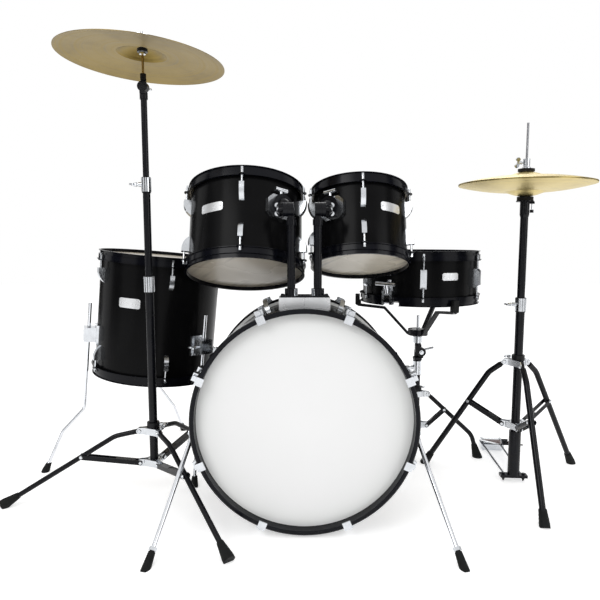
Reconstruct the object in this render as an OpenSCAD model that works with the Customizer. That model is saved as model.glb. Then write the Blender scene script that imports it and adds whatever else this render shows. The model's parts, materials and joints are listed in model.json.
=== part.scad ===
// Acoustic drum kit: bass drum, two rack toms, floor tom, snare drum, crash cymbal and hi-hat
// with their stands. Millimetres, +Z up. The audience is on the -Y side, the player on +Y.
// The origin is on the floor under the middle of the kit.

/* [Bass drum] */
// Shell diameter of the bass drum
bass_d = 508; // [500:1:516]
// Length of the bass drum's shell
bass_len = 342; // [330:1:356]
// Width of each wooden hoop along the drum
bass_hoop_w = 38; // [34:1:42]
// How far each head lies behind its hoop's outer face
bass_recess = 25; // [22:1:28]
// Backward lean of the bass drum in degrees, set by the spurs
bass_lean = 1; // [0.5:0.1:1.5]

/* [Rack toms] */
// Shell diameter of the left tom
left_tom_d = 305; // [298:1:308]
// Shell depth of the left tom
left_tom_depth = 222; // [210:1:230]
// Backward lean of the left tom in degrees
left_tom_lean = 20; // [17:0.5:22]
// Shell diameter of the right tom
right_tom_d = 254; // [248:1:258]
// Shell depth of the right tom
right_tom_depth = 196; // [190:1:203]
// Backward lean of the right tom in degrees
right_tom_lean = 17.5; // [15:0.5:20]
// Diameter of the two tom posts
post_d = 20; // [18:0.2:22.2]
// Distance between the two tom posts
post_spacing = 65; // [62:1:70]

/* [Floor tom] */
// Shell diameter of the floor tom
floor_tom_d = 356; // [350:1:360]
// Shell depth of the floor tom
floor_tom_depth = 350; // [330:1:356]
// Height of the floor tom's lower rim above the floor
floor_tom_z = 283.5; // [280:0.5:290]
// Sideways lean of the floor tom in degrees, towards the snare drum
floor_tom_lean = 5.4; // [4:0.1:6]
// Diameter of the floor tom's legs
floor_leg_d = 10; // [9:0.5:12]

/* [Snare drum] */
// Shell diameter of the snare drum
snare_d = 356; // [350:1:358]
// Shell depth of the snare drum
snare_depth = 140; // [130:1:150]
// Height of the snare drum's lower rim above the floor
snare_z = 502; // [495:1:510]

/* [Drum details] */
// Wall thickness of every shell
shell_wall = 7; // [6:0.5:9]
// How far the steel rims stand proud of the heads
rim_proud = 11; // [10:0.5:13]
// Height of the rim's skirt below the head
rim_skirt = 17; // [16:0.5:19]
// Length of a single-ended lug
lug_len = 43; // [40:1:46]
// Width of a single-ended lug
lug_w = 12.5; // [12:0.5:13]
// How far a lug stands out of its shell
lug_proud = 20; // [18.5:0.5:22]
// Radius of a tension rod
rod_r = 2.75; // [2.5:0.05:3]

/* [Cymbals] */
// Diameter of the crash cymbal
crash_d = 412; // [400:1:418]
// Diameter of each hi-hat cymbal
hat_d = 356; // [350:1:360]
// Height of the crash cymbal's hole above the floor
crash_z = 1177; // [1165:1:1190]
// Roll of the crash cymbal in degrees, down towards the toms
crash_roll = 4.5; // [3:0.5:9]
// Height of the hi-hat cymbals' meeting edges above the floor
hat_z = 848; // [840:1:855]
// Clearance between the hi-hat cymbals' edges
hat_gap = 1.5; // [1:0.1:2]

/* [Stands] */
// Outer diameter of the crash and snare stands' base tubes
base_tube_d = 22; // [21:0.5:24]
// Outer diameter of the hi-hat stand's base tube
hat_tube_d = 24; // [23:0.5:26]
// Wall thickness of the tubes
tube_wall = 1.3; // [1.2:0.1:1.5]
// Radial clearance between pieces that slide in each other
slide_fit = 0.3; // [0.25:0.01:0.35]
// Radial clearance of a rivet in its hole
pin_fit = 0.1; // [0.08:0.01:0.1]

/* [Crash stand] */
// Height of the crash stand's sliding leg collar
crash_collar_z = 190; // [188:1:194]
// Height of its fixed lower hub
crash_hub_z = 103; // [101:1:106]
// Radius at which its feet stand
crash_spread = 383; // [375:1:390]
// Diameter of its legs
crash_leg_d = 13; // [12:0.5:14]

/* [Snare stand] */
// Height of the snare stand's sliding leg collar
snare_collar_z = 196; // [194:1:198]
// Height of its fixed lower hub
snare_hub_z = 92; // [90:1:94]
// Radius at which its feet stand
snare_spread = 197; // [192:1:202]
// Diameter of its legs
snare_leg_d = 14; // [13:0.5:15]

/* [Hi-hat stand] */
// Height of the hi-hat stand's sliding leg collar
hat_collar_z = 350; // [347:1:353]
// Height of its fixed lower hub
hat_hub_z = 168; // [166:1:170]
// Radius at which its feet stand
hat_spread = 262; // [257:1:267]
// Diameter of its legs
hat_leg_d = 16; // [15:0.5:16.5]
// Slope of the footboard in degrees
board_slope = 17; // [16:0.5:18]

/* [Hidden] */
$fn = 64;

// Places of the groups on the floor, from the middle of the bass drum's front face
bass_at = [0, 0];
crash_at = [-bass_d / 2 - 150, 205];
floor_tom_at = [-bass_d / 2 - 218, 487];
snare_at = [372, 545];
hat_at = [609, 312];
// Level the rack toms are hung from, above the bass drum and the snare drum alike
tom_rise = max(bass_d, snare_z + 6);
left_tom_at = [-159, 257, tom_rise + 93];
right_tom_at = [153, 272, tom_rise + 115];
tom_mount_y = 115;
// Leg directions of the three stands in degrees
crash_legs = [-172, -52, 68];
snare_legs = [-16, 104, 224];
hat_legs = [-95, 29, 150];
floor_tom_legs_at = [-155, -35, 97];
floor_tom_feet_to = [-165, -78, 35];
floor_tom_crank = 100;
leg_out = 24;
// The kit's outermost feet put the origin in the middle of the floor that it covers
kit_left = crash_at[0] + (crash_spread + 9) * cos(crash_legs[0]);
kit_right = hat_at[0] + (hat_spread + 9) * cos(hat_legs[1]);
kit_back = floor_tom_at[1] + (floor_tom_d / 2 + leg_out) * sin(floor_tom_legs_at[2])
    + (floor_tom_crank + 10) * sin(floor_tom_feet_to[2]);
spur_foot = [bass_d / 2 + 85, -122];
kit_front = spur_foot[1] - 14;
kit_mid = [(kit_left + kit_right) / 2, (kit_front + kit_back) / 2];

// Small clearances and thicknesses shared by many pieces
seat = 0.2;
head_t = 0.8;
rod_clear = 0.35;
rim_t = 1.8;
ear_t = 2.5;
strip_t = 2;
rivet_r = 3;
tab_t = 7;
hub_h = 18;
leg_bracket_z = 86;
leg_bracket = [38, 46, 42];
tom_lugs = 5;
snare_lugs = 6;
bass_lugs = 8;

// Bass drum places
bass_r = bass_d / 2;
bass_hoop_r = bass_d / 2 + 13.5;
bass_total = bass_len + 2 * bass_recess;
bass_z = bass_hoop_r * cos(bass_lean) + bass_total * sin(bass_lean);
claw_turn = 22.5;

// Tom mount places, in the bass drum's own frame with the drum's axis at height 0
mount_floor = bass_r + 5;
block = [124, 62, 27];
collar_h = 16;
post_top = tom_rise + 248.3 - bass_z;
post_bottom = bass_r - 104;
tilter_r = 17;
tilter_bolt_r = 4;
head_w = 14;
arm_w = 12;
tilter_z = post_top + tilter_r - 1;
tilter_gap = 0.4;

// Spur places
spur_pivot = [bass_d / 2 + 23, 100, bass_d / 2 - 36];
spur_r = 5.5;
spur_hub_h = 14;
spur_pin_r = 4;

// Nested tubes of the crash stand
base_in_r = base_tube_d / 2 - tube_wall;
middle_r = base_in_r - slide_fit;
top_r = middle_r - tube_wall - slide_fit;
crash_base_top = 603;
crash_middle_top = 856;
crash_tube_end = crash_z - 113;
crash_tilt_z = crash_z - 99;
sleeve_h = 41;

// Nested tubes of the snare stand
snare_base_top = 306;
snare_tilt_z = 334;
basket_hub_z = 400;

// Nested tubes of the hi-hat stand
hat_in_r = hat_tube_d / 2 - tube_wall;
hat_upper_r = hat_in_r - slide_fit;
hat_base_top = 536;
hat_upper_top = 762;
hat_rod_r = 3;
hat_rod_top = 1013;
pedal_turn = -5;
heel_y = 258;
heel_z = 27;
board_len = 232;
board_w = 70;
board_t = 4;

// Leg profiles: distance from the column and height of the rivet, the knee and the foot
ear_r = 36;
crash_brace_reach = 187;
crash_rivet = [ear_r, crash_collar_z];
crash_knee = [100, crash_collar_z - 12];
crash_foot = [crash_spread, 10];
crash_joint = on_line(crash_knee, crash_foot, crash_brace_reach);
crash_hub_rivet = [ear_r, crash_hub_z];
snare_rivet = [ear_r, snare_collar_z];
snare_knee = [snare_spread - 20, 72];
snare_foot = [snare_spread, 0];
snare_joint = on_line(snare_rivet, snare_knee, 90);
snare_hub_rivet = [ear_r, snare_hub_z];
hat_rivet = [ear_r, hat_collar_z];
hat_knee = [79, hat_collar_z - 36];
hat_foot = [hat_spread, 5];
hat_joint = on_line(hat_knee, hat_foot, 135);
hat_hub_rivet = [ear_r, hat_hub_z];

function on_line(a, b, r) = a + (b - a) * (r - a[0]) / (b[0] - a[0]);
function along(a, b, d) = a + (b - a) * d / norm(b - a);

// ---- Shared shapes ----

// Runs the child, which stands on +Z, from point a towards point b
module towards(a, b) {
    v = b - a;
    translate(a) rotate([0, acos(v[2] / norm(v)), atan2(v[1], v[0])]) children();
}

module bar(a, b, r) {
    towards(a, b) cylinder(r = r, h = norm(b - a));
}

module tube(r, wall, h) {
    difference() {
        cylinder(r = r, h = h);
        translate([0, 0, -1]) cylinder(r = r - wall, h = h + 2);
    }
}

module around(n, start) {
    for (i = [0 : n - 1]) rotate(start + i * 360 / n) children();
}

// A rod of radius r through points in the XY plane, with round bends
module bent_rod(p, r, bend) {
    n = len(p);
    turns = [for (i = [1 : n - 2]) turn_at(p[i - 1], p[i], p[i + 1])];
    cuts = concat([0], [for (t = turns) bend * tan(abs(t) / 2)], [0]);
    for (i = [0 : n - 2]) {
        d = (p[i + 1] - p[i]) / norm(p[i + 1] - p[i]);
        over = [i > 0 ? 1 : 0, i < n - 2 ? 1 : 0];
        a = p[i] + d * (cuts[i] - over[0]);
        translate([a[0], a[1], 0]) rotate(atan2(d[1], d[0])) rotate([0, 90, 0])
            cylinder(r = r, h = norm(p[i + 1] - p[i]) - cuts[i] - cuts[i + 1] + over[0] + over[1]);
    }
    for (i = [1 : n - 2]) {
        d = (p[i] - p[i - 1]) / norm(p[i] - p[i - 1]);
        side = turns[i - 1] > 0 ? 1 : -1;
        c = p[i] - d * cuts[i] + side * bend * [-d[1], d[0]];
        from = atan2(d[1], d[0]) - side * 90;
        translate([c[0], c[1], 0]) rotate(side > 0 ? from : from + turns[i - 1])
            rotate_extrude(angle = abs(turns[i - 1])) translate([bend, 0]) circle(r + 0.05);
    }
}

// Signed turn at point b on the way from a to c
function turn_at(a, b, c) =
    let (u = b - a, v = c - b) atan2(u[0] * v[1] - u[1] * v[0], u * v);

// A wing screw whose shank runs along +Z from 0, with its wings above the shank
module wing_screw(shank, r = 3, span = 26) {
    cylinder(r = r, h = shank);
    translate([0, 0, shank]) {
        cylinder(r1 = 6, r2 = 4.5, h = 8);
        translate([0, 2, 8]) rotate([90, 0, 0]) linear_extrude(4) wing_outline(span);
    }
}

module wing_outline(span) {
    difference() {
        union() {
            for (s = [-1, 1]) translate([s * (span / 2 - 5), 3]) circle(6);
            translate([-span / 2 + 5, -3]) square([span - 10, 7]);
        }
        translate([0, 12]) circle(8);
    }
}

// ---- Drums ----

module drum_shell(d, depth) {
    r = d / 2;
    rotate_extrude() polygon([
        [r - shell_wall, shell_wall], [r - 1.5, 0], [r, 1.5], [r, depth - 1.5],
        [r - 1.5, depth], [r - shell_wall, depth - shell_wall]
    ]);
}

// A head with its flesh hoop, lying on a bearing edge at height 0
module drum_head(d) {
    r = d / 2;
    rotate_extrude() polygon([
        [0, seat], [r + 0.8, seat], [r + 0.8, -8], [r + 5.5, -8], [r + 5.5, -2.5],
        [r + 1.8, -2.5], [r + 1.8, seat + head_t], [0, seat + head_t]
    ]);
}

module drum_heads(d, depth) {
    translate([0, 0, depth]) drum_head(d);
    mirror([0, 0, 1]) drum_head(d);
}

function rod_at(d) = d / 2 + 12.5;
function rim_r(d) = d / 2 + 11.5;

// A pressed steel rim over the head at height 0, with an ear for each rod
module drum_rim(d, lugs, start) {
    r = d / 2;
    difference() {
        union() {
            rotate_extrude() polygon([
                [r + 2.6, -2.2], [r + 2.6, rim_proud], [r + 8, rim_proud], [r + 8, rim_proud - rim_t],
                [r + 2.6 + rim_t, rim_proud - rim_t], [r + 2.6 + rim_t, -2.2 + rim_t],
                [r + 6.2 + rim_t, -2.2 + rim_t], [r + 6.2 + rim_t, rim_t - rim_skirt],
                [rim_r(d), rim_t - rim_skirt], [rim_r(d), -rim_skirt],
                [r + 6.2, -rim_skirt], [r + 6.2, -2.2]
            ]);
            around(lugs, start) translate([rod_at(d) - 1, 0, ear_top - rim_t - 0.6]) difference() {
                cylinder(r = 9, h = rim_t + 0.6);
                translate([-20, -10, -1]) cube([16, 20, rim_t + 3]);
            }
        }
        around(lugs, start) translate([rod_at(d), 0, -rim_skirt - 1])
            cylinder(r = rod_r + rod_clear, h = rim_t + 3);
    }
}

module drum_rims(d, depth, lugs, start) {
    translate([0, 0, depth]) drum_rim(d, lugs, start);
    mirror([0, 0, 1]) drum_rim(d, lugs, start);
}

// Side view of a half-moon lug: flat end at height 0, tail at height l, shell at x 0
module lug_outline(l, p) {
    flat = 8;
    bow = (p * p + (l - flat) * (l - flat)) / (2 * p);
    intersection() {
        translate([-4, 0]) square([p + 4, l]);
        union() {
            translate([p - bow, flat]) circle(bow, $fn = 128);
            translate([-4, 0]) square([p + 4, flat]);
        }
    }
}

// A half-moon lug on the shell's surface with its flat end at height 0 and its tail upwards
module lug_body(d, l = lug_len, w = lug_w, p = lug_proud) {
    difference() {
        translate([d / 2, 0, 0]) rotate([90, 0, 0]) translate([0, 0, -w / 2])
            linear_extrude(w) lug_outline(l, p);
        cylinder(r = d / 2 + seat, h = 4 * l, center = true, $fn = 128);
        translate([rod_at(d), 0, -1]) cylinder(r = rod_r + rod_clear, h = 13);
    }
}

// A rod hanging from a rim's ear: its head above the ear, its thread down to depth z
module tension_rod(d, ear_z, z, rise = 0) {
    translate([rod_at(d), 0, 0]) {
        translate([0, 0, z]) cylinder(r = rod_r, h = ear_z - z);
        translate([0, 0, ear_z + seat]) cylinder(r = 4.2, h = 1.5);
        translate([0, 0, ear_z + seat + 1.5]) cylinder(r = 3.8, h = 3 + rise);
        translate([0, 0, ear_z]) cylinder(r = rod_r, h = seat + rise + 8);
        translate([-2.7, -2.7, ear_z + seat + rise + 4.5]) cube([5.4, 5.4, 6]);
    }
}

lug_drop = rim_skirt + 22;
ear_top = rim_t - rim_skirt + 0.3;
head_rise = 8;

// Lugs and rods of one end of a drum, for the head at height 0
module end_hardware(d, lugs, start, rise) {
    around(lugs, start) {
        translate([0, 0, -lug_drop]) mirror([0, 0, 1]) lug_body(d);
        tension_rod(d, ear_top, -lug_drop - 10, rise);
    }
}

module both_ends(d, depth, lugs, start) {
    translate([0, 0, depth]) end_hardware(d, lugs, start, head_rise);
    mirror([0, 0, 1]) end_hardware(d, lugs, start, 0);
}

// ---- Placing frames ----

module kit() {
    translate([-kit_mid[0], -kit_mid[1], 0]) children();
}

// The bass drum's frame: its axis along +Y at height 0, front hoop's face at y 0
module bass_frame() {
    kit() translate([bass_at[0], bass_at[1], bass_z]) rotate([-bass_lean, 0, 0]) children();
}

// Stands a drum on the bass drum's axis, its front hoop face at height 0 looking to -Y
module along_bass() {
    bass_frame() rotate([-90, 0, 0]) children();
}

module left_tom_frame() {
    kit() translate(left_tom_at) rotate([-left_tom_lean, 0, 0])
        translate([0, 0, rim_proud]) children();
}

module right_tom_frame() {
    kit() translate(right_tom_at) rotate([-right_tom_lean, 0, 0])
        translate([0, 0, rim_proud]) children();
}

module floor_tom_frame() {
    kit() translate([floor_tom_at[0], floor_tom_at[1], floor_tom_z]) rotate([0, floor_tom_lean, 0])
        translate([0, 0, rim_proud]) children();
}

module snare_frame() {
    kit() translate([snare_at[0], snare_at[1], snare_z + rim_proud]) children();
}

module column(at) {
    kit() translate([at[0], at[1], 0]) children();
}

// ---- Bass drum ----

module bass_shell() {
    color("#17181b") along_bass() translate([0, 0, bass_recess]) difference() {
        drum_shell(bass_d, bass_len);
        for (s = [-1, 1])
            translate([s * post_spacing / 2, 0, tom_mount_y - bass_recess]) rotate([90, 0, 0])
                cylinder(r = post_d / 2 + 1, h = bass_r + 10);
    }
}

// A bass head: flesh hoop behind the wooden hoop, film on the shell's edge
module bass_head() {
    drop = bass_hoop_w - bass_recess + seat;
    rotate_extrude() polygon([
        [0, seat], [bass_r + 0.6, seat], [bass_r + 0.6, -drop - 7], [bass_r + 8, -drop - 7],
        [bass_r + 8, -drop], [bass_r + 1.6, -drop], [bass_r + 1.6, seat + head_t], [0, seat + head_t]
    ]);
}

module bass_heads() {
    color("#f2f1ee") along_bass() {
        translate([0, 0, bass_recess + bass_len]) bass_head();
        translate([0, 0, bass_recess]) mirror([0, 0, 1]) bass_head();
    }
}

module bass_hoops() {
    color("#0d0e12") along_bass() for (z = [0, bass_total - bass_hoop_w])
        translate([0, 0, z]) rotate_extrude(convexity = 4) polygon([
            [bass_r + 2.2, 1], [bass_r + 3.2, 0], [bass_hoop_r - 3, 0], [bass_hoop_r, 3],
            [bass_hoop_r, bass_hoop_w - 3], [bass_hoop_r - 3, bass_hoop_w],
            [bass_r + 3.2, bass_hoop_w], [bass_r + 2.2, bass_hoop_w - 1]
        ]);
}

// A claw over the hoop at the top of the drum, with its T-rod and lug behind it
module claw_set() {
    lip = 3;
    w = 20;
    top = bass_hoop_r + seat;
    translate([-w / 2, top - 16, -lip - seat]) cube([w, 16, lip]);
    translate([-w / 2, top, -lip - seat]) cube([w, lip, bass_hoop_w + lip + seat + 2]);
    difference() {
        translate([-w / 2, top + lip - 1, bass_hoop_w - 16]) cube([w, 13, 18]);
        translate([0, top + 9, bass_hoop_w - 17]) cylinder(r = rod_r + rod_clear, h = 22);
    }
    translate([0, top + 9, bass_hoop_w - 22]) cylinder(r = rod_r, h = claw_reach - bass_hoop_w + 22 + 10);
    translate([0, top + 9, bass_hoop_w - 24]) cylinder(r = 5, h = 8 - seat);
    translate([0, 0, claw_reach]) bass_lug();
}
claw_reach = bass_recess + 72;
bass_lug_proud = bass_hoop_r - bass_r + 9 + 8;

module bass_lug() {
    difference() {
        translate([0, bass_r, 0]) rotate([90, 0, 90]) translate([0, 0, -lug_w / 2])
            linear_extrude(lug_w) lug_outline(lug_len, bass_lug_proud);
        cylinder(r = bass_r + seat, h = 4 * lug_len, center = true, $fn = 128);
        translate([0, bass_hoop_r + seat + 9, -1]) cylinder(r = rod_r + rod_clear, h = 13);
    }
}

// Turns +Z onto a spur's hinge axis, which is square to the spur and to the drum's axis
module spur_axis(s) {
    kit() translate([bass_at[0] + s * spur_pivot[0], bass_at[1] + spur_pivot[1], spur_pivot[2]])
        rotate([0, s * atan2(spur_pivot[2], spur_foot[0] - spur_pivot[0]), 0]) children();
}

module spur_bracket(s) {
    spur_axis(s) {
        translate([0, 0, -spur_hub_h / 2 - tilter_gap - 1]) cylinder(r = spur_pin_r, h = spur_hub_h + 2.4);
        translate([0, 0, spur_hub_h / 2 + tilter_gap]) cylinder(r1 = 8, r2 = 6, h = 5);
    }
    difference() {
        union() {
            spur_axis(s) translate([0, 0, -34 - spur_hub_h / 2]) cylinder(r = 12, h = 34 - tilter_gap);
            spur_axis(s) translate([-19, -15, -34 - spur_hub_h / 2]) cube([38, 30, 18]);
        }
        along_bass() cylinder(r = bass_r + seat, h = bass_total, $fn = 128);
    }
}

module bass_fittings() {
    color("#c9cccf") {
        along_bass() {
            around(bass_lugs, claw_turn) claw_set();
            translate([0, 0, bass_total]) mirror([0, 0, 1]) around(bass_lugs, claw_turn) claw_set();
        }
        for (s = [-1, 1]) spur_bracket(s);
    }
}

// A spur: a hub on the hinge, a straight rod and a rubber tip that stands on the floor
module spur(s) {
    d = [spur_foot[0] - spur_pivot[0], spur_foot[1] - spur_pivot[1], -spur_pivot[2]];
    reach = norm(d);
    across = norm([d[0], d[2]]);
    difference() {
        spur_axis(s) difference() {
            union() {
                translate([0, 0, -spur_hub_h / 2]) cylinder(r = 12, h = spur_hub_h);
                rotate(atan2(d[1], s * across)) rotate([0, 90, 0]) {
                    cylinder(r = 6.6, h = 26);
                    cylinder(r = spur_r, h = reach - 20);
                    translate([0, 0, reach - 44]) cylinder(r = 9, h = 8, $fn = 6);
                    translate([0, 0, reach - 34]) cylinder(r1 = 8, r2 = 11, h = 44);
                }
            }
            cylinder(r = spur_pin_r + pin_fit, h = 40, center = true);
        }
        kit() translate([-600, -300, -60]) cube([1200, 300, 60]);
    }
}

module left_spur() {
    color("#b9bcc0") spur(-1);
}

module right_spur() {
    color("#b9bcc0") spur(1);
}

// The double tom mount: saddle, clamp block, top plate and two collars with their screws
module tom_mount_base() {
    color("#d5d7d9") bass_frame() translate([0, tom_mount_y, 0]) difference() {
        union() {
            translate([-block[0] / 2, -block[1] / 2, bass_r - 40]) cube([block[0], block[1], 45]);
            translate([-block[0] / 2, -block[1] / 2, mount_floor]) cube(block);
            translate([-block[0] / 2 + 4, -block[1] / 2 + 4, mount_floor + block[2]])
                cube([block[0] - 8, block[1] - 8, 4]);
            for (s = [-1, 1]) translate([s * post_spacing / 2, 0, mount_floor + block[2] + 4]) {
                cylinder(r = post_d / 2 + 6, h = collar_h);
                rotate([90, 0, s * 60]) cylinder(r = 3, h = post_d / 2 + 14);
                rotate([90, 0, s * 60]) translate([0, 0, post_d / 2 + 12]) cylinder(r = 5, h = 5, $fn = 6);
            }
        }
        for (s = [-1, 1]) translate([s * post_spacing / 2, 0, bass_r - 60])
            cylinder(r = post_d / 2 + slide_fit, h = 200);
        rotate([90, 0, 0]) cylinder(r = bass_r + seat, h = 2 * block[1], center = true, $fn = 128);
        for (x = [-block[0] / 4 - 14, 0, block[0] / 4 + 14])
            translate([x - 0.4, -block[1] / 2 - 1, mount_floor - 1]) cube([0.8, 1.6, block[2] + 2]);
    }
}

// A tom post: tube, cast head, tilter bolt and wing nut; s is the side the tom hangs on
module tom_post(s) {
    x = s * post_spacing / 2;
    bass_frame() translate([x, tom_mount_y, 0]) {
        translate([0, 0, post_bottom]) tube(post_d / 2, 2, post_top - post_bottom - 6);
        translate([0, 0, post_top - 10]) cylinder(r = post_d / 2, h = 8);
        translate([-head_w / 2, -7, post_top - 5]) cube([head_w, 14, 14]);
        translate([0, 0, post_top - 22]) tube_cap(post_d / 2 + 2.5, 14);
        translate([-head_w / 2, 0, tilter_z]) rotate([0, 90, 0]) cylinder(r = tilter_r, h = head_w);
        translate([0, 0, tilter_z]) rotate([0, s * 90, 0]) {
            cylinder(r = tilter_bolt_r, h = head_w / 2 + arm_w + 3);
            translate([0, 0, head_w / 2 + 2 * tilter_gap + arm_w])
                wing_screw(3, r = tilter_bolt_r, span = 30);
        }
    }
}

module tube_cap(r, h) {
    difference() {
        cylinder(r = r, h = h);
        translate([0, 0, -1]) cylinder(r = r - 2.4, h = h - 2);
    }
}

module left_tom_post() {
    color("#15161c") tom_post(-1);
}

module right_tom_post() {
    color("#15161c") tom_post(1);
}

// ---- Rack toms ----

left_lug_start = -89;
right_lug_start = -91.6;
left_bracket_at = left_lug_start + 36;
right_bracket_at = right_lug_start - 36;
bracket_share = 0.6;
ball_out = 24;
ball_r = 16;
housing_r = 28;
arm_r = 5.25;

// Where a point of the bass drum's frame, or of a leaning tom's frame, lies over the floor
function lean_point(p, lean, at) =
    [at[0] + p[0], at[1] + p[1] * cos(lean) + p[2] * sin(lean),
     at[2] - p[1] * sin(lean) + p[2] * cos(lean)];

function tilter_point(s) = lean_point([s * (post_spacing / 2 + head_w / 2 + tilter_gap + arm_w / 2),
    tom_mount_y, tilter_z], bass_lean, [bass_at[0], bass_at[1], bass_z]);

function ball_point(d, depth, turn, lean, at) =
    lean_point([(d / 2 + ball_out) * cos(turn), (d / 2 + ball_out) * sin(turn),
        rim_proud + bracket_share * depth], lean, at);

// The arm from the tilter to the ball in the tom's bracket
module tom_arm(s, ball) {
    a = tilter_point(s);
    difference() {
        union() {
            translate(a - [arm_w / 2, 0, 0]) rotate([0, 90, 0]) cylinder(r = tilter_r, h = arm_w);
            bar(a, ball, arm_r);
            translate(ball) sphere(ball_r);
        }
        translate(a - [20, 0, 0]) rotate([0, 90, 0]) cylinder(r = tilter_bolt_r + pin_fit, h = 40);
    }
}

// The bracket on the shell: eight-sided plate, round housing and its T-bolt
module tom_bracket(d, depth, turn) {
    rotate(turn) translate([0, 0, bracket_share * depth]) {
        difference() {
            union() {
                translate([d / 2 - 12, 0, 0]) rotate([90, 0, 90]) linear_extrude(20) polygon([
                    [-35, -17], [-20, -31], [20, -31], [35, -17], [35, 17], [20, 31], [-20, 31], [-35, 17]
                ]);
                translate([d / 2 - 12, 0, 0]) rotate([0, 90, 0]) cylinder(r = housing_r, h = ball_out + 14);
            }
            cylinder(r = d / 2 + seat, h = 100, center = true, $fn = 128);
            translate([d / 2 + ball_out - ball_r - 0.3, 0, 0]) rotate([0, 90, 0])
                cylinder(r = ball_r + 0.2, h = 60);
        }
        translate([d / 2 + ball_out / 2 + 2, 0, housing_r - 1]) cylinder(r = 4.5, h = 16);
        translate([d / 2 + ball_out / 2 + 2, -18, housing_r + 15])
            rotate([-90, 0, 0]) cylinder(r = 5.5, h = 36);
    }
}

module left_tom_shell() {
    color("#17181b") left_tom_frame() drum_shell(left_tom_d, left_tom_depth);
}

module left_tom_heads() {
    color("#cfc8b8") left_tom_frame() drum_heads(left_tom_d, left_tom_depth);
}

module left_tom_rims() {
    color("#0d0e12") left_tom_frame() drum_rims(left_tom_d, left_tom_depth, tom_lugs, left_lug_start);
}

module left_tom_fittings() {
    color("#c9cccf") {
        left_tom_frame() {
            both_ends(left_tom_d, left_tom_depth, tom_lugs, left_lug_start);
            tom_bracket(left_tom_d, left_tom_depth, left_bracket_at);
        }
        kit() tom_arm(-1, ball_point(left_tom_d, left_tom_depth, left_bracket_at, left_tom_lean,
            left_tom_at));
    }
}

module right_tom_shell() {
    color("#17181b") right_tom_frame() drum_shell(right_tom_d, right_tom_depth);
}

module right_tom_heads() {
    color("#cfc8b8") right_tom_frame() drum_heads(right_tom_d, right_tom_depth);
}

module right_tom_rims() {
    color("#0d0e12") right_tom_frame()
        drum_rims(right_tom_d, right_tom_depth, tom_lugs, right_lug_start);
}

module right_tom_fittings() {
    color("#c9cccf") {
        right_tom_frame() {
            both_ends(right_tom_d, right_tom_depth, tom_lugs, right_lug_start);
            tom_bracket(right_tom_d, right_tom_depth, right_bracket_at);
        }
        kit() tom_arm(1, ball_point(right_tom_d, right_tom_depth, right_bracket_at, right_tom_lean,
            right_tom_at));
    }
}

// ---- Floor tom ----

floor_lug_start = -67;

module floor_tom_shell() {
    color("#17181b") floor_tom_frame() drum_shell(floor_tom_d, floor_tom_depth);
}

module floor_tom_heads() {
    color("#cfc8b8") floor_tom_frame() drum_heads(floor_tom_d, floor_tom_depth);
}

module floor_tom_rims() {
    color("#0d0e12") floor_tom_frame()
        drum_rims(floor_tom_d, floor_tom_depth, tom_lugs, floor_lug_start);
}

// A leg bracket: a block on a plate, with the leg's bore and a wing screw at its side
module leg_bracket_body() {
    r = floor_tom_d / 2;
    difference() {
        union() {
            translate([r - 8, -leg_bracket[1] / 2, 0]) cube(leg_bracket + [8, 0, 0]);
            translate([r - 8, -leg_bracket[1] / 2 - 5, -8])
                cube([13, leg_bracket[1] + 10, leg_bracket[2] + 16]);
        }
        cylinder(r = r + seat, h = 4 * leg_bracket[2], center = true, $fn = 128);
        translate([r + leg_out, 0, -10])
            cylinder(r = floor_leg_d / 2 + slide_fit, h = leg_bracket[2] + 20);
    }
    translate([r + leg_out, 1 - leg_bracket[1] / 2, leg_bracket[2] / 2]) rotate([90, 0, 0])
        wing_screw(12);
}

module floor_tom_fittings() {
    color("#b9bcc0") floor_tom_frame() {
        both_ends(floor_tom_d, floor_tom_depth, tom_lugs, floor_lug_start);
        for (a = floor_tom_legs_at) rotate(a) translate([0, 0, leg_bracket_z]) leg_bracket_body();
    }
}

// Height, in the floor tom's frame, of the foot of leg i
function floor_foot_z(i) =
    (5 - floor_tom_z + sin(floor_tom_lean) * ((floor_tom_d / 2 + leg_out) * cos(floor_tom_legs_at[i])
    + floor_tom_crank * cos(floor_tom_feet_to[i]))) / cos(floor_tom_lean) - rim_proud;

// The three cranked legs, each with its rubber tip on the floor
module floor_tom_legs() {
    knee = [0, -123];
    ankle = [58, -196];
    color("#c9cccf") difference() {
        floor_tom_frame() for (i = [0 : 2]) {
            foot = [floor_tom_crank, floor_foot_z(i)];
            rotate(floor_tom_legs_at[i]) translate([floor_tom_d / 2 + leg_out, 0, 0])
                rotate(floor_tom_feet_to[i] - floor_tom_legs_at[i]) rotate([90, 0, 0]) {
                    bent_rod([[0, 200], knee, ankle, foot], floor_leg_d / 2, 30);
                    rubber_tip(along(foot, ankle, 26), foot, 7, 11);
                }
        }
        floor_cut(floor_tom_at, floor_tom_d);
    }
}

// Everything under the floor around a place
module floor_cut(at, reach) {
    column(at) translate([-reach, -reach, -60]) cube([2 * reach, 2 * reach, 60]);
}

// A ribbed rubber tip in the XY plane, from a on the leg to b near the floor
module rubber_tip(a, b, r1, r2) {
    l = norm(b - a);
    rings = 4;
    step = l / rings;
    side = [for (i = [0 : rings - 1]) let (w = r1 + (r2 - r1) * i / rings)
        each [[w, i * step], [w + 0.9, (i + 0.5) * step]]];
    translate([a[0], a[1], 0]) rotate(atan2(b[1] - a[1], b[0] - a[0])) rotate([0, 90, 0])
        rotate_extrude() polygon(concat([[0, 0]], side, [[r2, l], [r2, l + 8], [0, l + 8]]));
}

// ---- Folding tripods ----

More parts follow.
